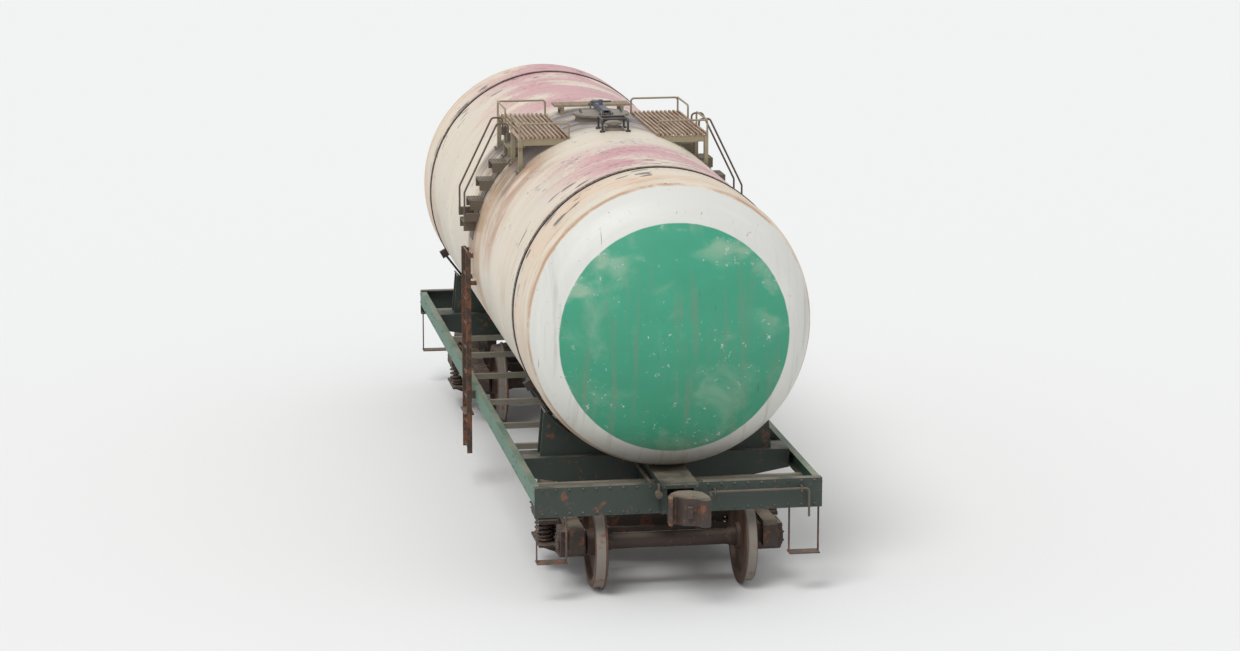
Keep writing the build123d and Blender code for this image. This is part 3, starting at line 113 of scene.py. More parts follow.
# Side platforms and bench
DECK_TOP_Z = CROWN_Z - 0.060
DECK_REACH = 0.92
DECK_INNER_Y = 0.5
DECK_OUTER_Y = 1.08
DECK_SLATS = 12
SLAT_WIDTH = 0.024
SLAT_DEPTH = 0.026
BEARER_SHARES = (-1, -0.33, 0.33, 1)
BENCH_TOP_Z = CROWN_Z + 0.075
BENCH_SLATS = 5
BENCH_PITCH = 0.0535
BENCH_BOLT_Y = 0.35
# Curved foot plates of the platforms' legs: thickness, legs' inset, and their nuts' places
FOOT_PLATE = 0.012
FOOT_INSET = 0.0225
FOOT_NUT_X = 0.045
FOOT_NUT_TURN = math.radians(1.7)
FOOT_NUT = 0.020

# Steps over the shoulders and lower ladders
STEP_ANGLES = (12.5, 22, 31.5, 41, 50.5)
STEP_RISE = 0.055
STEP_DEPTH = 0.125
STEP_WALL_GAP = 0.02
STUD = 0.013
STUD_PITCH = 0.032
STUD_COLUMNS = 10
LADDER_Y = 1.57
LADDER_TOP_Z = TANK_Z + 0.03
LADDER_BOTTOM_Z = 0.44
RUNGS = 9
RUNG_END_X = 0.193
FIRST_RUNG_Z = LADDER_BOTTOM_Z + 0.040
LAST_RUNG_Z = LADDER_TOP_Z - 0.008
# Weld collar of a rung: from, to, and its radii there
RUNG_COLLAR = (-0.001, 0.006, 0.0175, 0.0125)

# Underframe and brake gear
BEAM_X = 5.4
BEAM_RIVETS = 9
BEAM_RIVET_Y = 0.30
BEAM_RIVET_PITCH = 0.14
BEAM_RIVET_INSET = 0.030
SILL_TOP_Z = COUPLER_Z + 0.155
SILL_BOTTOM_Z = COUPLER_Z - 0.155
SIDE_SILL_Y = 1.5
SIDE_SILL_Z = SILL_TOP_Z - 0.103
SILL_JOINTS_X = (
    0.7, 1.9, BOGIE_X - 1.0, BOGIE_X - 0.12, BOGIE_X + 0.12, BEAM_X - 0.7, BEAM_X - 0.06
)
SILL_RIVET_X = 0.028
SILL_RIVET_Z = 0.055
STRIKER_DEPTH = 0.07
STRIKER_BOLT_Y = 0.168
STRIKER_BOLT_Z = 0.125
DRAFT_BOLTS = 5
DRAFT_BOLT_X = 4.41
DRAFT_BOLT_PITCH = 0.128
DRAFT_BOLT_Y = 0.222
DRAFT_PLATE = 0.014
LUG_BOLTS_X = (0.0975, 0.2925)
LUG_BOLT_Y = 0.515
LUG_PLATE = 0.020
CYLINDER = Vector((1.2, 0.48, COUPLER_Z - 0.188))
CYLINDER_HALF_LENGTH = 0.3
DISTRIBUTOR = Vector((1.25, -0.42, COUPLER_Z - 0.078))
DISTRIBUTOR_HALF_LENGTH = 0.2
DISCHARGE_FLANGE_Z = SILL_TOP_Z - 0.501 + 0.058
FRAME_BOLT = 0.024
# Circles of bolts: radius, count and the first one's angle
CYLINDER_BOLTS = (0.185, 8, 22.5)
DISTRIBUTOR_BOLTS = (0.055, 6, 0)
DISCHARGE_BOLTS = (0.127, 10, 18)
AXLE_COVER_BOLTS = (0.088, 6, 30)

# Bogies
AXLE_COVER_Y = 1.190
COLUMN_X = 0.35
COLUMN_FACE_Y = 1.041
COLUMN_BOLTS_Z = (AXLE_Z + 0.06, AXLE_Z - 0.07)
# Wheel: rolling band's radii, its reach across the track, and the hub
ROLLING_RADII = (0.468, 0.492)
ROLLING_Y = (0.735, 0.842)
HUB_RADIUS = 0.13

# Rivet head: rings up its side, points round it and height to half of its width
RIVET_LEVELS = 4
RIVET_SIDES = 12
RIVET_RISE = 0.7

# Springs of one nest, in spreads along the car and rows across it
SPRING_PLACES = ((-1, -1), (1, -1), (-2, 0), (0, 0), (2, 0), (-1, 1), (1, 1))
SPRING_SPREAD = 0.100
SPRING_ROW = 0.173
SPRING_Y = 1.018
OUTER_COIL_RADIUS = 0.091
INNER_COIL_RADIUS = 0.046
COIL_SIDES = 8
COIL_STEPS = 20
CLOSED_TURNS = 0.8
CLOSED_PITCH = 0.4

# Studio
FLOOR_HALF_SIZE = 260
SKY_COLOUR = (0.97, 0.98, 1.0)
LAMP_FROM = (-0.55, 0.42, 1.0)
LAMP_SPREAD = math.radians(28)
SENSOR_WIDTH = 36
CAMERA_REACH = 1000

SIDES = (1, -1)
ENDS = (("front", -1), ("rear", 1))
SHARP_ANGLE = math.radians(38)
# Material of each slot, filled when the car is painted
MATERIAL_NAMES = {}


def srgb(red, green, blue):
    """Linear colour of a screen colour given in 0 to 255."""
    parts = []
    for part in (red, green, blue):
        part /= 255
        parts.append(part / 12.92 if part <= 0.04045 else ((part + 0.055) / 1.055) ** 2.4)
    return tuple(parts)


# Stains of the tank
WASH = srgb(178, 156, 132)
RUN_OFF = srgb(146, 116, 92)
BROWN_DIRT = srgb(112, 92, 78)
BROWN_STAIN = srgb(166, 118, 86)
TAN_STAIN = srgb(168, 134, 100)
SEAM = srgb(120, 104, 90)
STRAP_RUST = srgb(74, 46, 34)
SEEP = srgb(150, 104, 76)
SCRATCH = srgb(112, 92, 78)
BELLY_GRIME = srgb(96, 86, 76)
# Heads and their discs
CLEAN_WHITE = srgb(214, 215, 207)
SHADED_WHITE = srgb(188, 188, 176)
EDGE_BLUR = srgb(178, 136, 98)
EDGE_LINE = srgb(166, 118, 84)
SHADED_GREEN = srgb(40, 128, 96)
GREEN_SCRATCH = srgb(34, 92, 72)
HEAD_RUN = srgb(128, 118, 98)
# Fittings, timber and wheels
BARE_METAL = (0.16, 0.14, 0.13)
BARE_SLAT = srgb(92, 72, 58)
SLAT_RUST = srgb(128, 98, 76)
# Painted shade of the steps down the shoulders
STEP_SHADE = srgb(80, 69, 58)
TIMBER_GRAIN = srgb(46, 36, 28)
TIMBER_OIL = srgb(24, 21, 19)
ROLLING_BAND = srgb(126, 118, 110)
GREASE = srgb(36, 30, 27)
# Reach of the pink spill along the tank: its pools, the trail down the right and a smudge
FRONT_POOL = (-3.78, -2.25)
REAR_POOL = (0.95, 4.9)
TRAIL = (-3.86, -3.30)
SMUDGE = (-2.9, -1.7)
WORN_EDGE_WIDTH = 0.006


# Settings


def colour_property(name, description, default):
    return bpy.props.FloatVectorProperty(
        name=name, description=description, default=default, size=3, min=0, max=1, subtype="COLOR"
    )


def length_property(name, description, default):
    return bpy.props.FloatProperty(
        name=name, description=description, default=default, min=0, max=50, precision=4,
        subtype="DISTANCE", unit="LENGTH",
    )


def number_property(name, description, default, low, high):
    return bpy.props.FloatProperty(
        name=name, description=description, default=default, min=low, max=high
    )


def angle_property(name, description, degrees):
    return bpy.props.FloatProperty(
        name=name, description=description, default=math.radians(degrees), subtype="ANGLE",
        unit="ROTATION",
    )


class TankPaintSettings(bpy.types.PropertyGroup):
    """Colours of the tank and the places where they change."""

    cream: colour_property("Cream", "Paint of the barrel", srgb(214, 206, 189))
    # Painted shade: the lower flanks are painted in this darker cream
    shaded_cream: colour_property(
        "Lower Cream", "Duller paint of the lower flanks", srgb(189, 181, 164)
    )
    peach: colour_property("Peach", "Warm stain that spilt load leaves", srgb(214, 178, 144))
    pink: colour_property("Pink", "Dyed spill on the crown", srgb(194, 138, 145))
    pink_deep: colour_property("Deep Pink", "Thicker places of the spill", srgb(158, 98, 106))
    soot: colour_property("Soot", "Blue-grey dirt round the hatch", srgb(104, 101, 108))
    # Also painted as shade on the barrel under the decks
    tar_and_shade: colour_property("Tar", "Dark tracks and scuffs", srgb(64, 54, 50))
    rust: colour_property("Rust", "Rust of the chips", srgb(112, 66, 44))
    head_white: colour_property("Head White", "White of the heads", srgb(208, 208, 202))
    disc_green: colour_property("Disc Green", "Green disc on the heads", srgb(56, 150, 119))
    disc_faded: colour_property("Faded Green", "Worn places of the disc", srgb(168, 182, 160))
    white_start: length_property(
        "White From", "Distance from the middle where white begins", 4.84
    )
    disc_radius: length_property("Disc Radius", "Radius of the green disc", 1.2)
    disc_drop: length_property("Disc Drop", "How far the disc sits below the axis", 0.07)


class FittingPaintSettings(bpy.types.PropertyGroup):
    """Colours of the fittings, the underframe and the running gear."""

    khaki: colour_property("Khaki", "Frames of platforms, steps and bench", srgb(150, 139, 114))
    slat: colour_property("Slats", "Rusted slats of the platforms", srgb(176, 150, 126))
    dome: colour_property("Hatch Grey", "Hatch neck, lid and valve", srgb(126, 118, 108))
    guard: colour_property("Guard", "Frame round the safety valve", srgb(54, 52, 52))
    arm: colour_property("Arm Blue", "Cross arm of the hatch", srgb(84, 90, 102))
    rail: colour_property("Rails", "Tubes of the handrails", srgb(92, 82, 70))
    ladder: colour_property("Ladders", "Lower ladders and corner steps", srgb(66, 53, 44))
    # Painted shade: the straps' dark edges also stand for the shade in the gaps beside them
    strap: colour_property("Straps", "Bands over the tank", srgb(50, 38, 33))
    sill: colour_property("Side Sill", "Faded green of the side sills", srgb(82, 117, 101))
    underframe: colour_property("Underframe", "Dark paint of the frame", srgb(48, 58, 52))
    cross_bar: colour_property("Cross Bars", "Dusty paint of the cross bars", srgb(120, 116, 104))
    casting: colour_property("Castings", "Bogies and couplers", srgb(62, 52, 46))
    spring: colour_property("Springs", "Coil springs", srgb(58, 46, 40))
    wheel: colour_property("Wheels", "Wheels and axles", srgb(78, 56, 44))
    timber: colour_property("Timber", "Blocks under the tank", srgb(88, 68, 50))
    rust: colour_property("Rust", "Rust that breaks through", srgb(122, 74, 48))
    dust: colour_property("Dust", "Dust that lies on top", srgb(158, 146, 128))


class SpringSettings(bpy.types.PropertyGroup):
    """Sizes of the coil springs in the bogies."""

    outer_wire: length_property("Outer Wire", "Thickness of the outer coil's bar", 0.028)
    inner_wire: length_property("Inner Wire", "Thickness of the inner coil's bar", 0.016)
    outer_turns: number_property("Outer Turns", "Turns of the outer coil", 5.0, 2, 12)
    inner_turns: number_property("Inner Turns", "Turns of the inner coil", 7.5, 2, 16)


class FastenerSettings(bpy.types.PropertyGroup):
    """Sizes of the bolts, rivets and weld beads."""

    bolt: length_property("Bolt Size", "Width of a common bolt's head", 0.030)
    small_bolt: length_property("Small Bolt Size", "Width of a small bolt's head", 0.017)
    rivet: length_property("Rivet Size", "Width of a rivet's head", 0.034)
    weld: length_property("Weld Width", "Width of a weld bead", 0.016)


class StageSettings(bpy.types.PropertyGroup):
    """Camera, lamps and floor."""

    lens: bpy.props.FloatProperty(
        name="Lens", description="Focal length of the camera", default=103.0, min=20, max=300,
        subtype="DISTANCE_CAMERA", unit="CAMERA",
    )
    eye: bpy.props.FloatVectorProperty(
        name="Eye", description="Where the camera stands", default=(-40.17, 6.33, 10.12),
        size=3, subtype="TRANSLATION", unit="LENGTH",
    )
    turn: angle_property("Turn", "How far the camera looks right of the track", 9.33)
    dip: angle_property("Dip", "How far the camera looks down", 11.56)
    lamp: number_property("Lamp", "Strength of the soft lamp", 1.5, 0, 20)
    sky: number_property("Sky", "Strength of the light from all round", 0.74, 0, 5)
    floor: colour_property("Floor", "Colour of the floor", (0.80, 0.80, 0.79))
    backdrop: colour_property("Backdrop", "Colour behind the car", (0.892, 0.896, 0.896))


# Node trees


class Field:
    """A value that changes over the surface. Arithmetic on it adds Math nodes to its tree.

    first | second is the larger of the two.
    """

    def __init__(self, tree, socket):
        self.tree = tree
        self.socket = socket

    def __add__(self, other):
        return self.tree.math("ADD", self, other)

    def __sub__(self, other):
        return self.tree.math("SUBTRACT", self, other)

    def __rsub__(self, other):
        return self.tree.math("SUBTRACT", other, self)

    def __mul__(self, other):
        return self.tree.math("MULTIPLY", self, other)

    def __truediv__(self, other):
        return self.tree.math("DIVIDE", self, other)

    def __rtruediv__(self, other):
        return self.tree.math("DIVIDE", other, self)

    def __or__(self, other):
        return self.tree.math("MAXIMUM", self, other)

    def __abs__(self):
        return self.tree.math("ABSOLUTE", self)

    __radd__ = __add__


class Tree:
    """Short calls that fill a node tree. Each takes numbers or fields and gives back a field."""

    def __init__(self, tree):
        self.tree = tree

    def put(self, socket, value):
        if isinstance(value, Field):
            self.tree.links.new(value.socket, socket)
        else:
            socket.default_value = value

    def node(self, kind, inputs, **settings):
        """Adds a node and gives back all its outputs, in their order."""
        node = self.tree.nodes.new("ShaderNode" + kind)
        for key, value in settings.items():
            setattr(node, key, value)
        for key, value in inputs.items():
            self.put(node.inputs[key], value)
        return [Field(self, socket) for socket in node.outputs]

    def add(self, kind, inputs, output=0, **settings):
        """Adds a node and gives back one of its outputs."""
        return self.node(kind, inputs, **settings)[output]

    def math(self, operation, *values):
        return self.add("Math", dict(enumerate(values)), operation=operation)

    def distance(self, first, second):
        """Length of the line that has these two parts."""
        return self.math("SQRT", first * first + second * second)

    def rise(self, value, low, high):
        """0 below low, 1 above high and smooth between; it falls where low is above high."""
        return self.add(
            "MapRange",
            {"Value": value, "From Min": low, "From Max": high},
            interpolation_type="SMOOTHSTEP",
        )

    def band(self, value, low, high, soft):
        """1 between low and high, with soft edges."""
        return self.rise(value, low - soft, low + soft) * self.rise(value, high + soft, high - soft)

    def mix(self, factor, first, second):
        return self.add(
            "Mix", {0: factor, 6: opaque(first), 7: opaque(second)}, 2, data_type="RGBA"
        )

    def mix_value(self, factor, first, second):
        return self.add("Mix", {0: factor, 2: first, 3: second}, data_type="FLOAT")

    def tint(self, colour, strength):
        """The colour made darker or lighter by a factor."""
        grey = self.add("CombineColor", {0: strength, 1: strength, 2: strength})
        return self.add(
            "Mix", {0: 1.0, 6: opaque(colour), 7: grey}, 2, data_type="RGBA", blend_type="MULTIPLY"
        )

    def noise(self, place, scale, detail=4.0, roughness=0.55, twist=0.0):
        """Noise between 0 and 1. A scale of three numbers stretches it along the axes."""
        if isinstance(scale, tuple):
            place = self.add("VectorMath", {0: place, 1: scale}, operation="MULTIPLY")
            scale = 1.0
        return self.add(
            "TexNoise",
            {
                "Vector": place,
                "Scale": scale,
                "Detail": detail,
                "Roughness": roughness,
                "Distortion": twist,
            },
        )

    def place(self):
        """The object's own coordinates."""
        return self.add("TexCoord", {}, 3)

    def split(self, vector):
        """The three parts of a vector."""
        return self.node("SeparateXYZ", {0: vector})

    def vector(self, x, y, z):
        return self.add("CombineXYZ", {0: x, 1: y, 2: z})

    def group(self, name, **inputs):
        """Places a node group and gives back its outputs by name."""
        node = self.tree.nodes.new("ShaderNodeGroup")
        node.node_tree = bpy.data.node_groups[name]
        for key, value in inputs.items():
            self.put(node.inputs[key.replace("_", " ")], value)
        return self.by_name(node)

    def by_name(self, node):
        return {socket.name: Field(self, socket) for socket in node.outputs}


def opaque(colour):
    """A colour with its alpha, or the field that it already is."""
    return colour if isinstance(colour, Field) else (*colour, 1.0)


def make_group(name, inputs, outputs):
    """An empty node group: its tree, its inputs by name and the node that takes its outputs."""
    group = bpy.data.node_groups.new(name, "ShaderNodeTree")
    for label, default in inputs.items():
        socket = group.interface.new_socket(label, in_out="INPUT", socket_type="NodeSocketFloat")
        socket.default_value = default
    for label in outputs:
        group.interface.new_socket(label, in_out="OUTPUT", socket_type="NodeSocketFloat")
    tree = Tree(group)
    return tree, tree.by_name(group.nodes.new("NodeGroupInput")), group.nodes.new("NodeGroupOutput")


def make_weathering_group():
    """Masks of patches, rust, edge wear and dust, with a grain and a height."""
    tree, given, result = make_group(
        "Weathering",
        {"Patch Size": 1.0, "Rust": 0.4, "Edge Wear": 0.5, "Dust": 0.4},
        ("Patches", "Rust", "Wear", "Dust", "Grain", "Height"),
    )
    place = tree.place()
    scale = 1.0 / given["Patch Size"]
    patches = tree.noise(place, scale * 2.1, 5.0, 0.6, 0.4)
    grain = tree.noise(place, scale * 55.0, 4.0, 0.7)
    blotch = tree.noise(place, scale * 6.5, 8.0, 0.72, 0.3)
    rust_edge = 0.78 - given["Rust"] * 0.42
    rust = tree.rise(blotch, rust_edge, rust_edge + 0.09)
    soft_normal = tree.add("Bevel", {"Radius": WORN_EDGE_WIDTH}, samples=4)
    hard_normal = tree.add("NewGeometry", {}, 1)
    bend = tree.add("VectorMath", {0: soft_normal, 1: hard_normal}, 1, operation="DOT_PRODUCT")
    chips = (1.0 - bend) * 5.0 + (grain - 0.5) * 1.1
    upward = tree.rise(tree.split(tree.add("TexCoord", {}, 1))[2], 0.35, 0.95)
    for label, value in (
        ("Patches", patches),
        ("Rust", rust),
        ("Wear", tree.rise(chips, 0.45, 0.85) * given["Edge Wear"]),
        ("Dust", upward * tree.rise(patches, 0.30, 0.62) * given["Dust"]),
        ("Grain", grain),
        ("Height", grain * 0.35 + rust * 0.5),
    ):
        tree.put(result.inputs[label], value)


def make_streak_group():
    """Thin streaks that run down a wall; they grow longer as Length does."""
    tree, given, result = make_group(
        "Run-off Streaks", {"Spacing": 0.05, "Length": 0.8, "Amount": 0.4}, ("Streaks",)
    )
    x, y, z = tree.split(tree.place())
    beside = y / (given["Length"] * 2.2)
    lines = tree.noise(
        tree.vector(x / given["Spacing"], beside, z / given["Length"]), 1.0, 3.0, 0.6
    )
    start = 0.74 - given["Amount"] * 0.3
    tree.put(result.inputs["Streaks"], tree.rise(lines, start, start + 0.16))


def new_material(name):
    material = bpy.data.materials.new(name)
    material.use_nodes = True
    return material, Tree(material.node_tree), material.node_tree.nodes["Principled BSDF"]


def finish_surface(tree, shader, colour, roughness, height, depth):
    tree.put(shader.inputs["Base Color"], colour)
    tree.put(shader.inputs["Roughness"], roughness)
    bump = tree.add("Bump", {"Height": height, "Distance": depth, "Strength": 0.6})
    tree.put(shader.inputs["Normal"], bump)


def weathered(
    name, paint, settings, rust, wear, dust,
    roughness=0.6, patch_size=1.0, bare=BARE_METAL, over=None, streaks=0.0,
):
    """A worn coat: paint with patches, run-off, rust, chipped edges and dust, each by its amount.

    over may repaint the coat before the wear: it takes the tree and the colour.
    """
    material, tree, shader = new_material(name)
    worn = tree.group("Weathering", Patch_Size=patch_size, Rust=rust, Edge_Wear=wear, Dust=dust)
    colour = tree.tint(paint, 0.72 + worn["Patches"] * 0.5)
    if over:
        colour = over(tree, colour)
    if streaks:
        runs = tree.group("Run-off Streaks", Spacing=0.035, Length=0.5, Amount=streaks)
        colour = tree.mix(runs["Streaks"] * 0.45, colour, settings.rust)
    rusty = tree.tint(settings.rust, 0.45 + worn["Grain"])
    colour = tree.mix(worn["Rust"] * 0.85, colour, rusty)
    colour = tree.mix(worn["Wear"], colour, bare)
    colour = tree.mix(worn["Dust"], colour, settings.dust)
    finish = (roughness - 0.12 + worn["Grain"] * 0.22) | (worn["Dust"] * 0.9)
    finish_surface(tree, shader, colour, finish, worn["Height"], 0.004)
    return material


# Coats that only one group of pieces has


def guard_over(fitting, tree, colour):
    """Paints the bars of the valve's guard dark; the valve within them keeps its grey."""
    x, y, z = tree.split(tree.place())
    x = abs(x - VALVE_X)
    outside = tree.rise(x | abs(y), GUARD_INSIDE, GUARD_INSIDE + 0.004)
    above = tree.rise(z, GUARD_TOP_Z - GUARD_BAR, GUARD_TOP_Z - GUARD_BAR + 0.004)
    near = tree.rise(x, GUARD_REACH, GUARD_REACH - 0.02)
    return tree.mix(near * (outside | above), colour, fitting.guard)


def slats_over(fitting, tree, colour):
    """Paints the decks' slats in their rusted tan, and paints shade on the steps down the shoulders."""
    place = tree.place()
    height = tree.split(place)[2]
    lines = tree.noise(place, (2.0, 30.0, 2.0), 4.0, 0.6)
    worn_slat = tree.mix(tree.rise(lines, 0.42, 0.68), fitting.slat, SLAT_RUST)
    for top, amount in ((DECK_TOP_Z, 1.0), (BENCH_TOP_Z, 0.35)):
        slats = tree.band(height, top - SLAT_DEPTH, top + 0.002, 0.0006)
        colour = tree.mix(slats * amount, colour, worn_slat)
    # Painted shade: below the crown the steps are darkened towards a dark brown
    shaded_steps = tree.rise(height, CROWN_Z - 0.30, CROWN_Z - 0.50)
    return tree.mix(shaded_steps * 0.8, colour, STEP_SHADE)


def tread_over(tree, colour):
    """Brightens the rolling band of each wheel and greases its hub."""
    x, y, z = tree.split(tree.place())
    x = abs(abs(x) - BOGIE_X) - HALF_WHEELBASE
    radius = tree.distance(x, z - AXLE_Z)
    rolling = tree.band(radius, *ROLLING_RADII, 0.002) * tree.band(abs(y), *ROLLING_Y, 0.006)
    colour = tree.mix(rolling, colour, ROLLING_BAND)
    return tree.mix(tree.band(radius, 0.0, HUB_RADIUS, 0.02) * 0.6, colour, GREASE)


def strap_over(tank, tree, colour):
    """Cream on the face of the band that hugs the barrel, with dark edges that are partly painted shade in the
    gaps, and rust.
    """
    place = tree.place()
    x, y, z = tree.split(place)
    hugging = tree.rise(tree.distance(y, z - TANK_Z), TANK_RADIUS + 0.016, TANK_RADIUS + 0.013)
    speckle = tree.noise(place, 30.0, 4.0)
    from_middle = abs(abs(x) - BOGIE_X) + (speckle - 0.5) * 0.02
    # The edges keep the dark strap colour, partly rust and partly painted shade in the gaps
    face = tree.rise(from_middle, 0.036, 0.028) * hugging
    return tree.mix(face * tree.rise(speckle, 0.46, 0.62) * 0.35, colour, tank.cream)


def make_timber(settings):
    material, tree, shader = new_material("oiled timber")
    place = tree.place()
    x, y, z = tree.split(place)
    warp = tree.noise(place, 3.0, 3.0)
    rings = tree.noise(tree.vector(x * 2.0, y * 60.0, (z + warp) * 60.0), 1.0, 5.0, 0.6)
    colour = tree.mix(tree.rise(rings, 0.35, 0.7), settings.timber, TIMBER_GRAIN)
    stain = tree.rise(tree.noise(place, 9.0, 5.0), 0.5, 0.75)
    colour = tree.mix(stain * 0.6, colour, TIMBER_OIL)
    finish_surface(tree, shader, colour, 0.6 + rings * 0.25, rings, 0.003)
    return material


# Layers of the tank's paint, from the ground coat up


class TankSurface:
    """What the layers share: places on the tank, in metres and radians, and noises."""

    def __init__(self, tree, paint):
        self.tree = tree
        self.place = tree.place()
        self.x, self.y, z = tree.split(self.place)
        self.z = z - TANK_Z
        self.along = abs(self.x)
        self.from_hatch = self.x - HATCH_X
        self.from_bogie = self.along - BOGIE_X
        # Angle above the tank's middle, the same on both sides
        self.angle = tree.math("ARCTAN2", self.z, abs(self.y))
        # The barrel rolled out flat
        self.wrap = tree.vector(self.x, tree.math("ARCTAN2", self.z, self.y) * TANK_RADIUS, 0.0)
        self.cloud = tree.noise(self.wrap, 0.9, 6.0, 0.62, 0.5)
        self.blot = tree.noise(self.wrap, 2.6, 7.0, 0.66, 0.6)
        self.fleck = tree.noise(self.wrap, 17.0, 6.0, 0.7)
        self.smear = tree.noise(self.wrap, (5.0, 1.1, 1.0), 6.0, 0.62, 0.3)
        self.fine_run = tree.noise(self.wrap, (26.0, 1.3, 1.0), 4.0, 0.6)
        self.broad_run = tree.noise(self.wrap, (7.0, 0.55, 1.0), 5.0, 0.6)
        # The white of the heads begins at a hand-cut edge
        self.wander = (tree.noise(self.wrap, 3.5, 5.0) - 0.5) * 0.05
        self.from_edge = self.along + self.wander - paint.white_start
        self.white = tree.rise(self.from_edge, -0.006, 0.006)
        # Upright scratches on the heads, in a few places
        self.ticks = tree.noise(tree.vector(self.y * 48.0, self.z * 2.6, self.x), 1.0, 2.0, 0.5)
        self.few = tree.rise(tree.noise(self.place, 2.2, 2.0), 0.55, 0.60)


def ground_coat(tank, paint):
    """Cream with painted shade down the lower flanks, and a brown wash."""
    tree = tank.tree
    # Painted shade: the cream darkens down the flanks, below a wandering edge
    flank = tree.rise(tank.angle + tank.cloud * 0.5, 0.55, -0.35)
    colour = tree.mix(flank, paint.cream, paint.shaded_cream)
    colour = tree.tint(colour, 0.84 + tank.cloud * 0.29)
    wash = tree.rise(tank.smear, 0.52, 0.74) * tree.rise(tank.cloud, 0.36, 0.60)
    return tree.mix(wash * 0.38, colour, WASH)


def peach_stains(tank, paint, colour):
    """Soft clouds, stronger near the hatch group and the straps."""
    tree = tank.tree
    near_hatch = tree.band(tank.from_hatch, -0.75, 0.6, 0.55)
    near_strap = tree.band(tank.from_bogie, 0.04, 0.80, 0.12)
    upper = tree.rise(tank.angle, -0.3, 0.5)
    reach = (near_hatch * 0.9) | (near_strap * 0.8) | (upper * 0.28)
    peach = reach * tree.rise(tank.smear + tank.cloud * 0.4, 0.50, 0.86)
    return tree.mix(peach * 0.9, colour, paint.peach)


def pink_spill(tank, paint, colour):
    """Spill across the crown before and behind the hatch; it runs down the right by the strap."""
    tree = tank.tree
    top = tree.rise(tank.angle, 0.45, 0.80)
    crown = tree.rise(tank.y, 1.25, 0.30) * top
    front_pool = tree.band(tank.x, *FRONT_POOL, 0.30) * crown
    rear_pool = tree.band(tank.x, *REAR_POOL, 0.4) * crown
    trail = tree.band(tank.x, *TRAIL, 0.10) * tree.rise(tank.y, -0.2, -0.7)
    trail = trail * tree.rise(tank.angle, -0.05, 0.5)
    spill = tree.noise(tank.wrap, (1.5, 0.9, 1.0), 4.0, 0.5, 0.5) + (tank.fleck - 0.5) * 0.22
    pink = (front_pool | trail | rear_pool) * tree.rise(spill, 0.34, 0.52)
    colour = tree.mix(pink * 0.86, colour, paint.pink)
    thick = tree.rise(tank.fleck + tank.smear * 0.6, 0.76, 1.02)
    colour = tree.mix(pink * thick * 0.75, colour, paint.pink_deep)
    smudge = tree.band(tank.x, *SMUDGE, 0.3) * top * tree.rise(tank.fleck, 0.47, 0.60)
    smudge = smudge * tree.rise(tank.blot, 0.50, 0.62)
    return tree.mix(smudge * 0.7, colour, paint.soot)


def run_off(tank, colour):
    """Brown streaks below the crown."""
    tree = tank.tree
    runs = tree.rise(tank.fine_run, 0.54, 0.72) * tree.rise(tank.broad_run, 0.40, 0.62)
    lower = tree.rise(tank.angle, 1.3, 0.7)
    return tree.mix(runs * lower * 0.42, colour, RUN_OFF)


def hatch_dirt(tank, paint, colour):
    """Dirt round the hatch, by the decks' legs and down the steps, and painted shade on the barrel under the
    decks; gives back the dirt's mask too.
    """
    tree = tank.tree
    x, angle = tank.from_hatch, tank.angle
    round_hatch = tree.band(x, -0.72, 0.75, 0.36) * tree.rise(angle, 0.60, 0.90)
    step_way = tree.band(x, -0.34, 0.30, 0.15) * tree.rise(angle, -0.3, 0.35)
    legs = tree.band(x, -1.12, 1.08, 0.12) * tree.band(angle, 0.52, 0.90, 0.14)
    dirt = round_hatch | (step_way * 0.9) | (legs * 0.85)
    dirt = dirt * tree.rise(tank.smear + tank.blot * 0.6, 0.50, 0.88)
    tone = tree.mix(tree.rise(angle, 1.0, 0.55), paint.soot, BROWN_DIRT)
    colour = tree.mix(dirt * 0.92, colour, tone)
    # Painted shade: the barrel under the decks' slats is darkened
    shade_below_slats = tree.band(abs(tank.y), DECK_INNER_Y + 0.02, DECK_OUTER_Y + 0.02, 0.04)
    shade_below_slats = shade_below_slats * tree.band(x, -DECK_REACH, DECK_REACH, 0.06)
    colour = tree.mix(shade_below_slats * tree.rise(tank.z, 0.6, 0.8) * 0.8, colour, paint.tar_and_shade)
    brown = tree.band(x, -1.70, -0.90, 0.22) * tree.band(angle, 0.10, 1.00, 0.2)
    brown = brown * tree.rise(tank.smear + tank.blot * 0.5, 0.54, 0.86)
    colour = tree.mix(brown * 0.75, colour, BROWN_STAIN)
    beside_steps = tree.band(x, -0.80, -0.28, 0.16) * tree.band(angle, -0.45, 0.75, 0.25)
    beside_steps = beside_steps * tree.rise(tank.smear + tank.blot * 0.4, 0.46, 0.78)
    low_patch = tree.band(tank.from_bogie, -1.0, -0.05, 0.25) * tree.band(angle, -0.55, 0.10, 0.2)
    low_patch = low_patch * tree.rise(tank.cloud, 0.46, 0.60)
    colour = tree.mix((beside_steps | (low_patch * 0.75)) * 0.72, colour, TAN_STAIN)
    wet = step_way | (round_hatch * 0.8) | legs
    tracks = wet * tree.rise(tank.fine_run, 0.49, 0.63)
    return tree.mix(tracks * 0.6, colour, paint.tar_and_shade), dirt


def white_heads(tank, paint, colour):
    """White beyond the hand-cut edge, with a tan blur and a rusty line before it."""
    tree = tank.tree
    blur = tree.band(tank.from_edge, -0.22, -0.02, 0.05) * tree.rise(tank.smear, 0.44, 0.64)
    colour = tree.mix(blur * 0.5, colour, EDGE_BLUR)
    head = tree.mix(tree.rise(tank.broad_run, 0.42, 0.72), paint.head_white, CLEAN_WHITE)
    # Painted shade: the head's white darkens towards its bottom
    head = tree.mix(tree.rise(tank.z, -0.2, -1.4) * 0.5, head, SHADED_WHITE)
    head = tree.mix(tree.rise(tank.ticks, 0.70, 0.74) * tank.few * 0.8, head, paint.tar_and_shade)
    colour = tree.mix(tank.white, colour, head)
    line = tree.band(tank.from_edge, -0.05, -0.004, 0.02) * tree.rise(tank.blot, 0.34, 0.56)
    return tree.mix(line * 0.7, colour, EDGE_LINE)


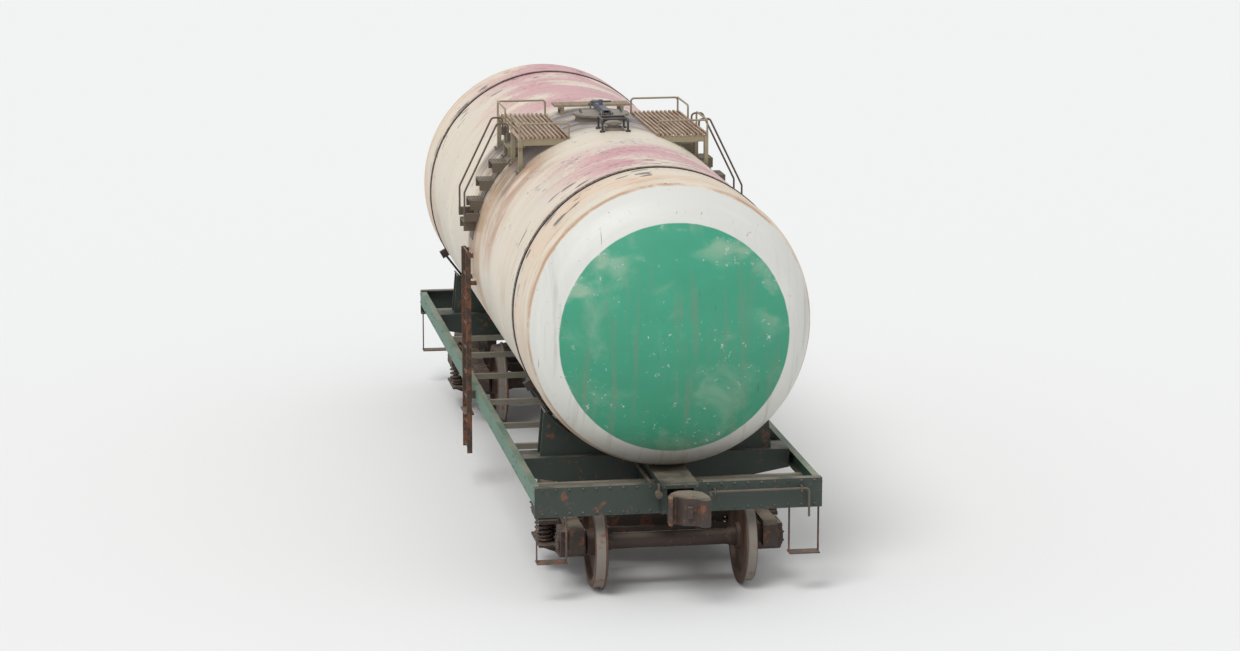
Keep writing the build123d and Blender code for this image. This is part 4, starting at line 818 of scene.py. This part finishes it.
def green_disc(tank, paint, colour):
    """Green disc of each head: faded near its rim, chipped, scratched and streaked, with painted shade towards its
    bottom.
    """
    tree = tank.tree
    y, z = tank.y, tank.z
    from_rim = tree.distance(y, z + paint.disc_drop) + tank.wander * 0.35 - paint.disc_radius
    soft = tree.noise(tree.vector(y * 1.9, z * 3.0, tank.x), 1.0, 4.0, 0.5, 0.2)
    green = tree.tint(paint.disc_green, 0.84 + soft * 0.30)
    # Painted shade: the green darkens towards the disc's bottom
    green = tree.mix(tree.rise(z, 0.5, -0.9) * 0.55, green, SHADED_GREEN)
    rubbed = tree.rise(from_rim, -0.45, -0.10) * tree.rise(soft, 0.50, 0.66)
    green = tree.mix(rubbed * tree.rise(z, -0.3, 0.4) * 0.5, green, paint.disc_faded)
    bleached = tree.rise(tree.noise(tank.place, 1.7, 6.0, 0.62, 0.5), 0.50, 0.74)
    green = tree.mix(bleached * 0.30, green, paint.disc_faded)
    chips = tree.rise(tree.noise(tank.place, 16.0, 5.0, 0.7), 0.62, 0.66)
    green = tree.mix(chips * tree.rise(soft, 0.46, 0.60) * 0.7, green, paint.head_white)
    green = tree.mix(tree.rise(tank.ticks, 0.68, 0.72) * tank.few * 0.6, green, GREEN_SCRATCH)
    colour = tree.mix(tree.rise(from_rim, 0.006, -0.006) * tank.white, colour, green)
    run = tree.noise(tree.vector(y * 11.0, z * 0.8, tank.x), 1.0, 5.0, 0.6)
    run = tree.rise(run, 0.50, 0.72) * tree.rise(z, 1.2, 0.2)
    return tree.mix(run * tank.white * 0.34, colour, HEAD_RUN)


def strap_marks(tank, paint, colour):
    """Rust along the straps, and scuffs and dashes beside them."""
    tree = tank.tree
    barrel = 1.0 - tank.white
    beside = abs(tank.from_bogie)
    rust = tree.band(beside, 0.034, 0.052, 0.005) * tree.rise(tank.blot + tank.fleck, 0.66, 1.0)
    colour = tree.mix(rust * 0.9, colour, STRAP_RUST)
    seep = tree.rise(beside, 0.20, 0.045) * tree.rise(tank.smear, 0.50, 0.66) * barrel
    colour = tree.mix(seep * 0.5, colour, SEEP)
    scuff = tree.noise(tank.wrap, (13.0, 5.0, 1.0), 3.0, 0.5)
    least = 0.74 - (tree.band(beside, 0.05, 0.30, 0.05) | 0.35) * 0.105
    scuffs = tree.rise(scuff, least, least + 0.02)
    dash = tree.noise(tank.wrap, (7.5, 3.0, 1.0), 1.5, 0.4)
    dashes = tree.band(beside, 0.06, 0.55, 0.05) * tree.rise(dash, 0.648, 0.66)
    dashes = dashes * tree.rise(tank.angle, 0.1, 0.4)
    return tree.mix((scuffs | dashes) * barrel * 0.85, colour, paint.tar_and_shade)


def make_tank_paint(paint):
    """Cream barrel with peach, pink and blue-grey stains; white heads with a worn green disc."""
    material, tree, shader = new_material("tank paint")
    tank = TankSurface(tree, paint)
    grain = tree.group("Weathering", Patch_Size=1.6)["Grain"]
    colour = ground_coat(tank, paint)
    colour = peach_stains(tank, paint, colour)
    colour = pink_spill(tank, paint, colour)
    colour = run_off(tank, colour)
    colour, dirt = hatch_dirt(tank, paint, colour)
    colour = white_heads(tank, paint, colour)
    colour = green_disc(tank, paint, colour)
    seam = tree.band(tank.along - BARREL_HALF_LENGTH, -0.003, 0.003, 0.002)
    colour = tree.mix(seam * 0.3, colour, SEAM)
    colour = strap_marks(tank, paint, colour)

    # Scratches and chips all over, and grime under the belly
    scratch = tree.noise(tank.wrap, (34.0, 3.2, 1.0), 2.0, 0.5)
    scratches = tree.rise(scratch, 0.68, 0.73) * tree.rise(tank.cloud, 0.52, 0.66)
    colour = tree.mix(scratches * (1.0 - tank.white) * 0.6, colour, SCRATCH)
    chips = tree.rise(tank.fleck, 0.63, 0.67) * tree.rise(tank.blot, 0.44, 0.56)
    colour = tree.mix(chips * 0.7, colour, paint.rust)
    below = tree.mix_value(
        tank.white, tree.rise(tank.angle, -0.55, -1.25), tree.rise(tank.z, -0.95, -1.5)
    )
    belly = below * (0.55 + tank.blot * 0.6)
    colour = tree.mix(belly * 0.75, colour, BELLY_GRIME)

    gloss = 0.36 + grain * 0.16 + (dirt | belly) * 0.25
    height = seam * 1.6 + grain * 0.12 + tank.cloud * 1.2 + chips * -0.3
    finish_surface(tree, shader, colour, gloss, height, 0.004)
    return material


def make_materials(tank, fitting):
    """The material of each of the record's slots."""
    # slot, material, paint, rust, wear, dust, other settings
    coats = (
        ("dome_paint", "hatch paint", fitting.dome, 0.45, 0.5, 0.3,
         {"over": partial(guard_over, fitting)}),
        ("arm_steel", "hatch arm paint", fitting.arm, 0.5, 0.7, 0.25, {"patch_size": 0.5}),
        ("platform_paint", "platform paint", fitting.khaki, 0.45, 0.6, 0.3,
         {"patch_size": 0.6, "bare": BARE_SLAT, "over": partial(slats_over, fitting),
          "streaks": 0.35}),
        ("handrail_paint", "handrail paint", fitting.rail, 0.55, 0.4, 0.2, {"patch_size": 0.5}),
        ("ladder_paint", "ladder paint", fitting.ladder, 0.7, 0.5, 0.3, {"streaks": 0.4}),
        ("strap_steel", "strap steel", fitting.strap, 0.45, 0.0, 0.0,
         {"over": partial(strap_over, tank)}),
        ("frame_paint", "underframe paint", fitting.underframe, 0.5, 0.4, 0.5, {"streaks": 0.3}),
        ("cross_bar_paint", "cross bar paint", fitting.cross_bar, 0.5, 0.3, 0.6, {}),
        ("side_sill_paint", "side sill paint", fitting.sill, 0.4, 0.55, 0.5,
         {"patch_size": 1.4, "streaks": 0.5}),
        ("cast_steel", "dusty casting", fitting.casting, 0.6, 0.35, 0.55,
         {"roughness": 0.75, "patch_size": 0.7}),
        ("spring_steel", "spring steel", fitting.spring, 0.6, 0.2, 0.4, {"patch_size": 0.3}),
        ("wheel_steel", "wheel steel", fitting.wheel, 0.5, 0.3, 0.25,
         {"roughness": 0.62, "over": tread_over}),
    )
    materials = {"tank_paint": make_tank_paint(tank), "wood_block": make_timber(fitting)}
    for slot, name, paint, rust, wear, dust, more in coats:
        materials[slot] = weathered(name, paint, fitting, rust, wear, dust, **more)
    return materials


# Mesh pieces


def make_piece(name, shape, body, slot):
    """An object from a bmesh, which rides on a body and has a slot's material."""
    mesh = bpy.data.meshes.new(name)
    bmesh.ops.recalc_face_normals(shape, faces=shape.faces)
    for face in shape.faces:
        face.smooth = True
    shape.to_mesh(mesh)
    shape.free()
    mesh.set_sharp_from_angle(angle=SHARP_ANGLE)
    piece = bpy.data.objects.new(name, mesh)
    bpy.context.scene.collection.objects.link(piece)
    piece.data.materials.append(bpy.data.materials[MATERIAL_NAMES[slot]])
    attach(piece, body)
    return piece


def cone(shape, low, high, bottom, top, segments):
    """Adds a closed cone or cylinder on the Z axis between two heights."""
    bmesh.ops.create_cone(
        shape, cap_ends=True, segments=segments, radius1=bottom, radius2=top,
        depth=high - low, matrix=Matrix.Translation((0, 0, (low + high) / 2)),
    )


def bolt_shape(width):
    """Washer, hexagon nut with a chamfer and the bolt's end, standing on z = 0."""
    shape = bmesh.new()
    # Heights and radii of each cone, in widths of the nut, and its sides
    for low, high, bottom, top, segments in (
        (0, 0.10, 0.66, 0.62, 14),
        (0.10, 0.50, 0.56, 0.56, 6),
        (0.50, 0.58, 0.56, 0.46, 6),
        (0.58, 0.78, 0.28, 0.24, 8),
    ):
        cone(shape, low * width, high * width, bottom * width, top * width, segments)
    return shape


def rivet_shape(width):
    """Round rivet head, standing on z = 0."""
    shape = bmesh.new()

    def ring(level):
        rise = math.radians(90 / RIVET_LEVELS * level)
        out, z = width / 2 * math.cos(rise), RIVET_RISE * width / 2 * math.sin(rise)
        turns = [math.radians(360 / RIVET_SIDES * side) for side in range(RIVET_SIDES)]
        return [(out * math.cos(turn), out * math.sin(turn), z) for turn in turns]

    sweep(shape, RIVET_LEVELS, ring, False)
    shape.faces.ensure_lookup_table()
    top = bmesh.ops.poke(shape, faces=[shape.faces[-1]])["verts"][0]
    top.co = (0, 0, RIVET_RISE * width / 2)
    return shape


def set_out(template, places):
    """One bmesh with a copy of the template at each place, given as (point, outward direction)."""
    mesh = bpy.data.meshes.new("template")
    template.to_mesh(mesh)
    template.free()
    result = bmesh.new()
    for point, outward in places:
        start = len(result.verts)
        result.from_mesh(mesh)
        result.verts.ensure_lookup_table()
        turn = Vector(outward).to_track_quat("Z", "Y").to_matrix().to_4x4()
        bmesh.ops.transform(
            result, matrix=Matrix.Translation(point) @ turn, verts=result.verts[start:]
        )
    bpy.data.meshes.remove(mesh)
    return result


def fasten(name, template, places, slot, body="car_body"):
    """A piece that is a copy of the template at each place."""
    return make_piece(name, set_out(template, places), body, slot)


def bolt_circle(centre, outward, radius, count, first):
    """Places on a circle about the outward axis; first is the first place's angle in degrees."""
    across, up = (axis for axis in range(3) if not outward[axis])
    places = []
    for step in range(count):
        angle = math.radians(first + 360 / count * step)
        point = Vector(centre)
        point[across] += radius * math.cos(angle)
        point[up] += radius * math.sin(angle)
        places.append((point, outward))
    return places


def sweep(shape, count, profile, closed):
    """Joins the rings of points that profile gives for each step of a path."""
    rings = [[shape.verts.new(point) for point in profile(step)] for step in range(count)]
    pairs = list(zip(rings, rings[1:]))
    if closed:
        pairs.append((rings[-1], rings[0]))
    for first, second in pairs:
        for index in range(len(first)):
            following = (index + 1) % len(first)
            shape.faces.new((first[index], first[following], second[following], second[index]))
    if not closed:
        shape.faces.new(rings[0])
        shape.faces.new(rings[-1])


def lay_bead(shape, count, place, closed):
    """Sweeps a weld bead; place gives its points from a step, an offset across and a lift."""
    sweep(
        shape, count, lambda step: [place(step, across, lift) for across, lift in BEAD_PROFILE],
        closed,
    )


def on_barrel(x, angle, lift=0.0):
    """Point on the tank's barrel: angle is measured round from the left side, over the top."""
    radius = TANK_RADIUS + lift
    return Vector((x, radius * math.cos(angle), TANK_Z + radius * math.sin(angle)))


def add_coil(shape, x, y, low, high, radius, wire, turns, hand):
    """Adds a coil spring with closed and ground ends."""
    steps = int(turns * COIL_STEPS)

    def ring(step):
        turned = turns * step / steps
        rise = min(max((turned - CLOSED_TURNS) / (turns - 2 * CLOSED_TURNS), 0), 1)
        # How far into the closed turns: below 0 at the bottom, above 0 at the top
        closing = min(turned, CLOSED_TURNS) - CLOSED_TURNS + max(turned - turns + CLOSED_TURNS, 0)
        middle_z = low + wire + rise * (high - low - 2 * wire) + wire * closing * CLOSED_PITCH
        angle = hand * 2 * math.pi * turned
        points = []
        for side in range(COIL_SIDES):
            around = 2 * math.pi * side / COIL_SIDES
            out = radius + wire / 2 * math.cos(around)
            z = min(max(middle_z + wire / 2 * math.sin(around), low), high)
            points.append((x + out * math.cos(angle), y + out * math.sin(angle), z))
        return points

    sweep(shape, steps + 1, ring, False)


# Studio


def make_floor(scene, stage):
    shape = bmesh.new()
    bmesh.ops.create_grid(shape, x_segments=8, y_segments=8, size=FLOOR_HALF_SIZE)
    mesh = bpy.data.meshes.new("studio_floor")
    shape.to_mesh(mesh)
    shape.free()
    floor = bpy.data.objects.new("studio_floor", mesh)
    scene.collection.objects.link(floor)
    material, tree, shader = new_material("studio floor")
    tree.put(shader.inputs["Base Color"], opaque(stage.floor))
    tree.put(shader.inputs["Roughness"], 0.95)
    tree.put(shader.inputs["Specular IOR Level"], 0.1)
    floor.data.materials.append(material)


def make_world(scene, stage):
    """Even light from all round; what the camera and reflections see is the backdrop."""
    world = bpy.data.worlds.new("studio light")
    scene.world = world
    world.use_nodes = True
    tree, nodes = Tree(world.node_tree), world.node_tree.nodes
    sky = nodes["Background"]
    tree.put(sky.inputs["Color"], opaque(SKY_COLOUR))
    tree.put(sky.inputs["Strength"], stage.sky)
    shown = tree.add("Background", {"Color": opaque(stage.backdrop), "Strength": 1.0})
    rays = tree.by_name(nodes.new("ShaderNodeLightPath"))
    seen = rays["Is Camera Ray"] | rays["Is Glossy Ray"] | rays["Is Transmission Ray"]
    blend = tree.add("MixShader", {0: seen, 1: Field(tree, sky.outputs[0]), 2: shown})
    tree.put(nodes["World Output"].inputs["Surface"], blend)


# Operators


class TANKCAR_OT_paint(bpy.types.Operator):
    """Give every CAD node its paint or metal"""

    bl_idname = "tankcar.paint"
    bl_label = "Paint the Car"

    def execute(self, context):
        make_weathering_group()
        make_streak_group()
        scene = context.scene
        materials = make_materials(scene.tankcar_tank_paint, scene.tankcar_fitting_paint)
        MATERIAL_NAMES.update({slot: material.name for slot, material in materials.items()})
        for part in frame["record"]["subparts"]:
            node = frame["nodes"][part["node"]]
            for place in node.material_slots:
                place.material = materials[part["material_slot"]]
        return {"FINISHED"}


class TANKCAR_OT_springs(bpy.types.Operator):
    """Make the coil springs of both bogies"""

    bl_idname = "tankcar.springs"
    bl_label = "Bogie Springs"

    def execute(self, context):
        sizes = context.scene.tankcar_springs
        coils = (
            (OUTER_COIL_RADIUS, sizes.outer_wire, sizes.outer_turns, 1),
            (INNER_COIL_RADIUS, sizes.inner_wire, sizes.inner_turns, -1),
        )
        for end_name, end in ENDS:
            node = f"bogie_{end_name}_springs"
            low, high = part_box(node)
            shape = bmesh.new()
            for side in (-1, 1):
                for along, across in SPRING_PLACES:
                    x = end * BOGIE_X + SPRING_SPREAD * along
                    y = side * SPRING_Y + SPRING_ROW * across
                    for reach, wire, turns, hand in coils:
                        radius = reach - wire / 2
                        add_coil(shape, x, y, low.z, high.z, radius, wire, turns, hand)
            piece = make_piece(f"coils_{end_name}", shape, f"bogie_{end_name}", "spring_steel")
            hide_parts(node)
        return {"FINISHED"}


class TANKCAR_OT_welds(bpy.types.Operator):
    """Lay the weld beads of the barrel, the heads and the hatch neck"""

    bl_idname = "tankcar.welds"
    bl_label = "Weld Beads"

    def execute(self, context):
        width = context.scene.tankcar_fasteners.weld
        shape = bmesh.new()

        def round_bead(end, step, across, lift):
            x = end * BARREL_HALF_LENGTH + across * width
            return on_barrel(x, math.radians(360 / ROUND_STEPS * step), lift * width)

        def long_bead(seam, step, across, lift):
            x = BARREL_HALF_LENGTH * (2 * step / SEAM_STEPS - 1)
            ripple = 1 + BEAD_RIPPLE * math.sin(step * RIPPLE_TURN)
            angle = math.radians(seam) + across * width / TANK_RADIUS
            return on_barrel(x, angle, lift * width * ripple)

        def neck_bead(step, across, lift):
            turn = math.radians(360 / NECK_STEPS * step)
            radius = NECK_RADIUS + (across + 0.45) * width
            y = radius * math.sin(turn)
            z = TANK_Z + math.sqrt(TANK_RADIUS**2 - y**2) + lift * width
            return HATCH_X + radius * math.cos(turn), y, z

        for end in (-1, 1):
            lay_bead(shape, ROUND_STEPS, partial(round_bead, end), True)
        for seam in LONG_SEAMS:
            lay_bead(shape, SEAM_STEPS + 1, partial(long_bead, seam), False)
        lay_bead(shape, NECK_STEPS, neck_bead, True)
        make_piece("weld_beads", shape, "car_body", "tank_paint")
        return {"FINISHED"}


class TANKCAR_OT_hatch_details(bpy.types.Operator):
    """Add the lid's rolled rim, handles, nuts and the valve's bolts"""

    bl_idname = "tankcar.hatch_details"
    bl_label = "Hatch and Valve Details"

    def execute(self, context):
        sizes = context.scene.tankcar_fasteners
        lid_top = lid_low.z + LID_PLATE
        shape = bmesh.new()

        def rim(step):
            turn = math.radians(360 / RIM_STEPS * step)
            points = []
            for side in range(RIM_SIDES):
                angle = math.radians(360 / RIM_SIDES * side)
                out = LID_RADIUS - LID_RIM - 0.001 + LID_RIM * math.cos(angle)
                x = HATCH_X + out * math.cos(turn)
                points.append((x, out * math.sin(turn), lid_top + LID_RIM * math.sin(angle)))
            return points

        sweep(shape, RIM_STEPS, rim, True)
        make_piece("lid_rim", shape, "hatch_lid", "dome_paint")

        handle_curve = bpy.data.curves.new("lid_handles", "CURVE")
        handle_curve.dimensions = "3D"
        handle_curve.bevel_depth = HANDLE_RADIUS
        handle_curve.bevel_resolution = 3
        for side in (-1, 1):
            spline = handle_curve.splines.new("POLY")
            spline.points.add(HANDLE_STEPS)
            for step, point in enumerate(spline.points):
                around = math.pi * step / HANDLE_STEPS
                x = HATCH_X - HANDLE_HALF_LENGTH * math.cos(around)
                z = lid_top - HANDLE_SINK + HANDLE_RISE * math.sin(around) ** 0.5
                point.co = (x, side * HANDLE_Y, z, 1)
        handles = bpy.data.objects.new("lid_handles", handle_curve)
        context.scene.collection.objects.link(handles)
        handle_curve.materials.append(bpy.data.materials[MATERIAL_NAMES["arm_steel"]])
        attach(handles, "hatch_lid")

        pins = [
            ((HATCH_X + end * HINGE_PIN_X, side * HINGE_EAR_Y, CROWN_Z + HINGE_PIN_RISE),
             (0, side, 0))
            for end in (-1, 1)
            for side in (-1, 1)
        ]
        fasten("hatch_pin_nuts", bolt_shape(sizes.bolt), pins, "arm_steel")

        nuts = []
        for radius, rise, count, first in VALVE_NUTS:
            nuts += bolt_circle((VALVE_X, 0, CROWN_Z + rise), (0, 0, 1), radius, count, first)
        nuts.append(((VALVE_X, 0, CROWN_Z + VALVE_CAP_RISE), (0, 0, 1)))
        fasten("valve_nuts", bolt_shape(sizes.small_bolt), nuts, "arm_steel")
        return {"FINISHED"}


class TANKCAR_OT_deck_bolts(bpy.types.Operator):
    """Bolt the slats down and the platforms' feet to the barrel"""

    bl_idname = "tankcar.deck_bolts"
    bl_label = "Platform and Bench Bolts"

    def execute(self, context):
        heads, feet = [], []
        foot_angle = math.acos((DECK_OUTER_Y - FOOT_INSET) / TANK_RADIUS)
        pitch = (DECK_OUTER_Y - DECK_INNER_Y - SLAT_WIDTH) / (DECK_SLATS - 1)
        for side in SIDES:
            for share in BEARER_SHARES:
                x = HATCH_X + share * DECK_REACH
                for slat in range(DECK_SLATS):
                    y = DECK_INNER_Y + SLAT_WIDTH / 2 + slat * pitch
                    heads.append(((x, side * y, DECK_TOP_Z), (0, 0, 1)))
                for foot_end in (-1, 1):
                    for turn in (-FOOT_NUT_TURN, FOOT_NUT_TURN):
                        nut = on_barrel(x + foot_end * FOOT_NUT_X, foot_angle + turn, FOOT_PLATE)
                        out = nut - Vector((nut.x, 0, TANK_Z))
                        feet.append(((nut.x, side * nut.y, nut.z), (0, side * out.y, out.z)))
            for slat in range(BENCH_SLATS):
                x = BENCH_X + (slat - (BENCH_SLATS - 1) / 2) * BENCH_PITCH
                heads.append(((x, side * BENCH_BOLT_Y, BENCH_TOP_Z), (0, 0, 1)))
        head = rivet_shape(context.scene.tankcar_fasteners.small_bolt * 0.9)
        fasten("slat_bolts", head, heads, "platform_paint")
        fasten("platform_foot_nuts", bolt_shape(FOOT_NUT), feet, "platform_paint")
        return {"FINISHED"}


class TANKCAR_OT_step_treads(bpy.types.Operator):
    """Raise the studs on the steps' treads and weld the ladders' rungs"""

    bl_idname = "tankcar.step_treads"
    bl_label = "Step Studs and Rung Welds"

    def execute(self, context):
        studs = []
        for angle in STEP_ANGLES:
            rise = TANK_RADIUS * math.sin(math.radians(angle)) + STEP_RISE
            edge = TANK_RADIUS * math.cos(math.radians(angle)) + STEP_DEPTH
            wall = math.sqrt(TANK_RADIUS**2 - rise**2) + STEP_WALL_GAP
            rows = max(int((edge - wall) / STUD_PITCH), 1)
            for row in range(rows + 1):
                y = wall + (edge - wall) * row / rows
                # Every second row is shifted by half a pitch and has one stud less
                shifted = row % 2
                for column in range(STUD_COLUMNS - shifted):
                    x = HATCH_X + STUD_PITCH * (column + 0.5 * shifted - (STUD_COLUMNS - 1) / 2)
                    for side in SIDES:
                        studs.append(((x, side * y, TANK_Z + rise), (0, 0, 1)))
        fasten("step_studs", rivet_shape(STUD), studs, "platform_paint")

        collar = bmesh.new()
        cone(collar, *RUNG_COLLAR, 14)
        pitch = (LAST_RUNG_Z - FIRST_RUNG_Z) / (RUNGS - 1)
        collars = [
            ((HATCH_X + end * RUNG_END_X, side * LADDER_Y, FIRST_RUNG_Z + rung * pitch),
             (-end, 0, 0))
            for side in SIDES
            for end in (-1, 1)
            for rung in range(RUNGS)
        ]
        fasten("rung_welds", collar, collars, "ladder_paint")
        return {"FINISHED"}


class TANKCAR_OT_frame_fastenings(bpy.types.Operator):
    """Rivet and bolt the underframe, its couplers' seats and the brake gear"""

    bl_idname = "tankcar.frame_fastenings"
    bl_label = "Underframe Rivets and Bolts"

    def execute(self, context):
        rivet = context.scene.tankcar_fasteners.rivet
        beam_rivets, sill_rivets, bolts = [], [], []
        for _, end in ENDS:
            for side in SIDES:
                for step in range(BEAM_RIVETS):
                    y = side * (BEAM_RIVET_Y + BEAM_RIVET_PITCH * step)
                    for z in (SILL_BOTTOM_Z + BEAM_RIVET_INSET, SILL_TOP_Z - BEAM_RIVET_INSET):
                        beam_rivets.append(((end * BEAM_X, y, z), (end, 0, 0)))
                for joint in SILL_JOINTS_X:
                    for x in (joint - SILL_RIVET_X, joint + SILL_RIVET_X):
                        for z in (SIDE_SILL_Z - SILL_RIVET_Z, SIDE_SILL_Z + SILL_RIVET_Z):
                            sill_rivets.append(((end * x, side * SIDE_SILL_Y, z), (0, side, 0)))
                x = end * (BEAM_X + STRIKER_DEPTH)
                for z in (COUPLER_Z - STRIKER_BOLT_Z, COUPLER_Z + STRIKER_BOLT_Z):
                    bolts.append(((x, side * STRIKER_BOLT_Y, z), (end, 0, 0)))
                z = SILL_BOTTOM_Z - DRAFT_PLATE
                for step in range(DRAFT_BOLTS):
                    x = end * (DRAFT_BOLT_X + DRAFT_BOLT_PITCH * step)
                    bolts.append(((x, side * DRAFT_BOLT_Y, z), (0, 0, -1)))
                z = SILL_TOP_Z + LUG_PLATE
                for x in LUG_BOLTS_X:
                    bolts.append(((end * x, side * LUG_BOLT_Y, z), (0, 0, 1)))
        fasten("beam_rivets", rivet_shape(rivet), beam_rivets, "frame_paint")
        fasten("sill_rivets", rivet_shape(rivet * 0.8), sill_rivets, "side_sill_paint")

        for cover in (-1, 1):
            outward = Vector((cover, 0, 0))
            face = CYLINDER + outward * CYLINDER_HALF_LENGTH
            bolts += bolt_circle(face, outward, *CYLINDER_BOLTS)
            face = DISTRIBUTOR + outward * DISTRIBUTOR_HALF_LENGTH
            bolts += bolt_circle(face, outward, *DISTRIBUTOR_BOLTS)
        bolts += bolt_circle((0, 0, DISCHARGE_FLANGE_Z), (0, 0, 1), *DISCHARGE_BOLTS)
        fasten("underframe_bolts", bolt_shape(FRAME_BOLT), bolts, "frame_paint")
        return {"FINISHED"}


class TANKCAR_OT_bogie_bolts(bpy.types.Operator):
    """Bolt the axle boxes' covers and the side frames' wear plates"""

    bl_idname = "tankcar.bogie_bolts"
    bl_label = "Bogie Bolts"

    def execute(self, context):
        for end_name, end in ENDS:
            bolts = []
            for side in SIDES:
                outward = (0, side, 0)
                for axle_end in (-1, 1):
                    x = end * BOGIE_X + axle_end * HALF_WHEELBASE
                    cover = (x, side * AXLE_COVER_Y, AXLE_Z)
                    bolts += bolt_circle(cover, outward, *AXLE_COVER_BOLTS)
                    x = end * BOGIE_X + axle_end * COLUMN_X
                    for z in COLUMN_BOLTS_Z:
                        bolts.append(((x, side * COLUMN_FACE_Y, z), outward))
            fasten(
                f"bogie_bolts_{end_name}", bolt_shape(FRAME_BOLT), bolts, "cast_steel",
                f"bogie_{end_name}",
            )
        return {"FINISHED"}


class TANKCAR_OT_stage(bpy.types.Operator):
    """Set up the floor, the lamp, the light from all round and the camera"""

    bl_idname = "tankcar.stage"
    bl_label = "Studio"

    def execute(self, context):
        scene = context.scene
        stage = scene.tankcar_stage
        scene.view_settings.view_transform = "Standard"
        make_floor(scene, stage)
        make_world(scene, stage)

        lamp_data = bpy.data.lights.new("soft_lamp", "SUN")
        lamp_data.energy = stage.lamp
        lamp_data.angle = LAMP_SPREAD
        lamp = bpy.data.objects.new("soft_lamp", lamp_data)
        lamp.rotation_euler = Vector(LAMP_FROM).to_track_quat("Z", "Y").to_euler()
        scene.collection.objects.link(lamp)

        camera_data = bpy.data.cameras.new("camera")
        camera_data.sensor_width = SENSOR_WIDTH
        camera_data.lens = stage.lens
        camera_data.clip_end = CAMERA_REACH
        camera = bpy.data.objects.new("camera", camera_data)
        camera.location = stage.eye
        look = Vector((
            math.cos(stage.dip) * math.cos(stage.turn),
            -math.cos(stage.dip) * math.sin(stage.turn),
            -math.sin(stage.dip),
        ))
        camera.rotation_euler = look.to_track_quat("-Z", "Y").to_euler()
        scene.collection.objects.link(camera)
        scene.camera = camera
        return {"FINISHED"}


SETTINGS = (
    ("tankcar_tank_paint", TankPaintSettings),
    ("tankcar_fitting_paint", FittingPaintSettings),
    ("tankcar_springs", SpringSettings),
    ("tankcar_fasteners", FastenerSettings),
    ("tankcar_stage", StageSettings),
)
OPERATORS = (
    TANKCAR_OT_paint,
    TANKCAR_OT_springs,
    TANKCAR_OT_welds,
    TANKCAR_OT_hatch_details,
    TANKCAR_OT_deck_bolts,
    TANKCAR_OT_step_treads,
    TANKCAR_OT_frame_fastenings,
    TANKCAR_OT_bogie_bolts,
    TANKCAR_OT_stage,
)


class TANKCAR_PT_panel(bpy.types.Panel):
    """Settings of the tank car and the steps that make it"""

    bl_idname = "TANKCAR_PT_panel"
    bl_label = "Tank Car"
    bl_space_type = "VIEW_3D"
    bl_region_type = "UI"
    bl_category = "Tank Car"

    def draw(self, context):
        layout = self.layout
        for attribute, group in SETTINGS:
            box = layout.box()
            box.label(text=group.__doc__.split(".")[0])
            for key in group.__annotations__:
                box.prop(getattr(context.scene, attribute), key)
        for operator in OPERATORS:
            layout.operator(operator.bl_idname)


def register():
    for attribute, group in SETTINGS:
        bpy.utils.register_class(group)
        setattr(bpy.types.Scene, attribute, bpy.props.PointerProperty(type=group))
    for operator in OPERATORS:
        bpy.utils.register_class(operator)
    bpy.utils.register_class(TANKCAR_PT_panel)


def unregister():
    bpy.utils.unregister_class(TANKCAR_PT_panel)
    for operator in reversed(OPERATORS):
        bpy.utils.unregister_class(operator)
    for attribute, group in reversed(SETTINGS):
        delattr(bpy.types.Scene, attribute)
        bpy.utils.unregister_class(group)


def main():
    register()
    for operator in OPERATORS:
        group, name = operator.bl_idname.split(".")
        getattr(getattr(bpy.ops, group), name)()


if __name__ == "__main__":
    main()
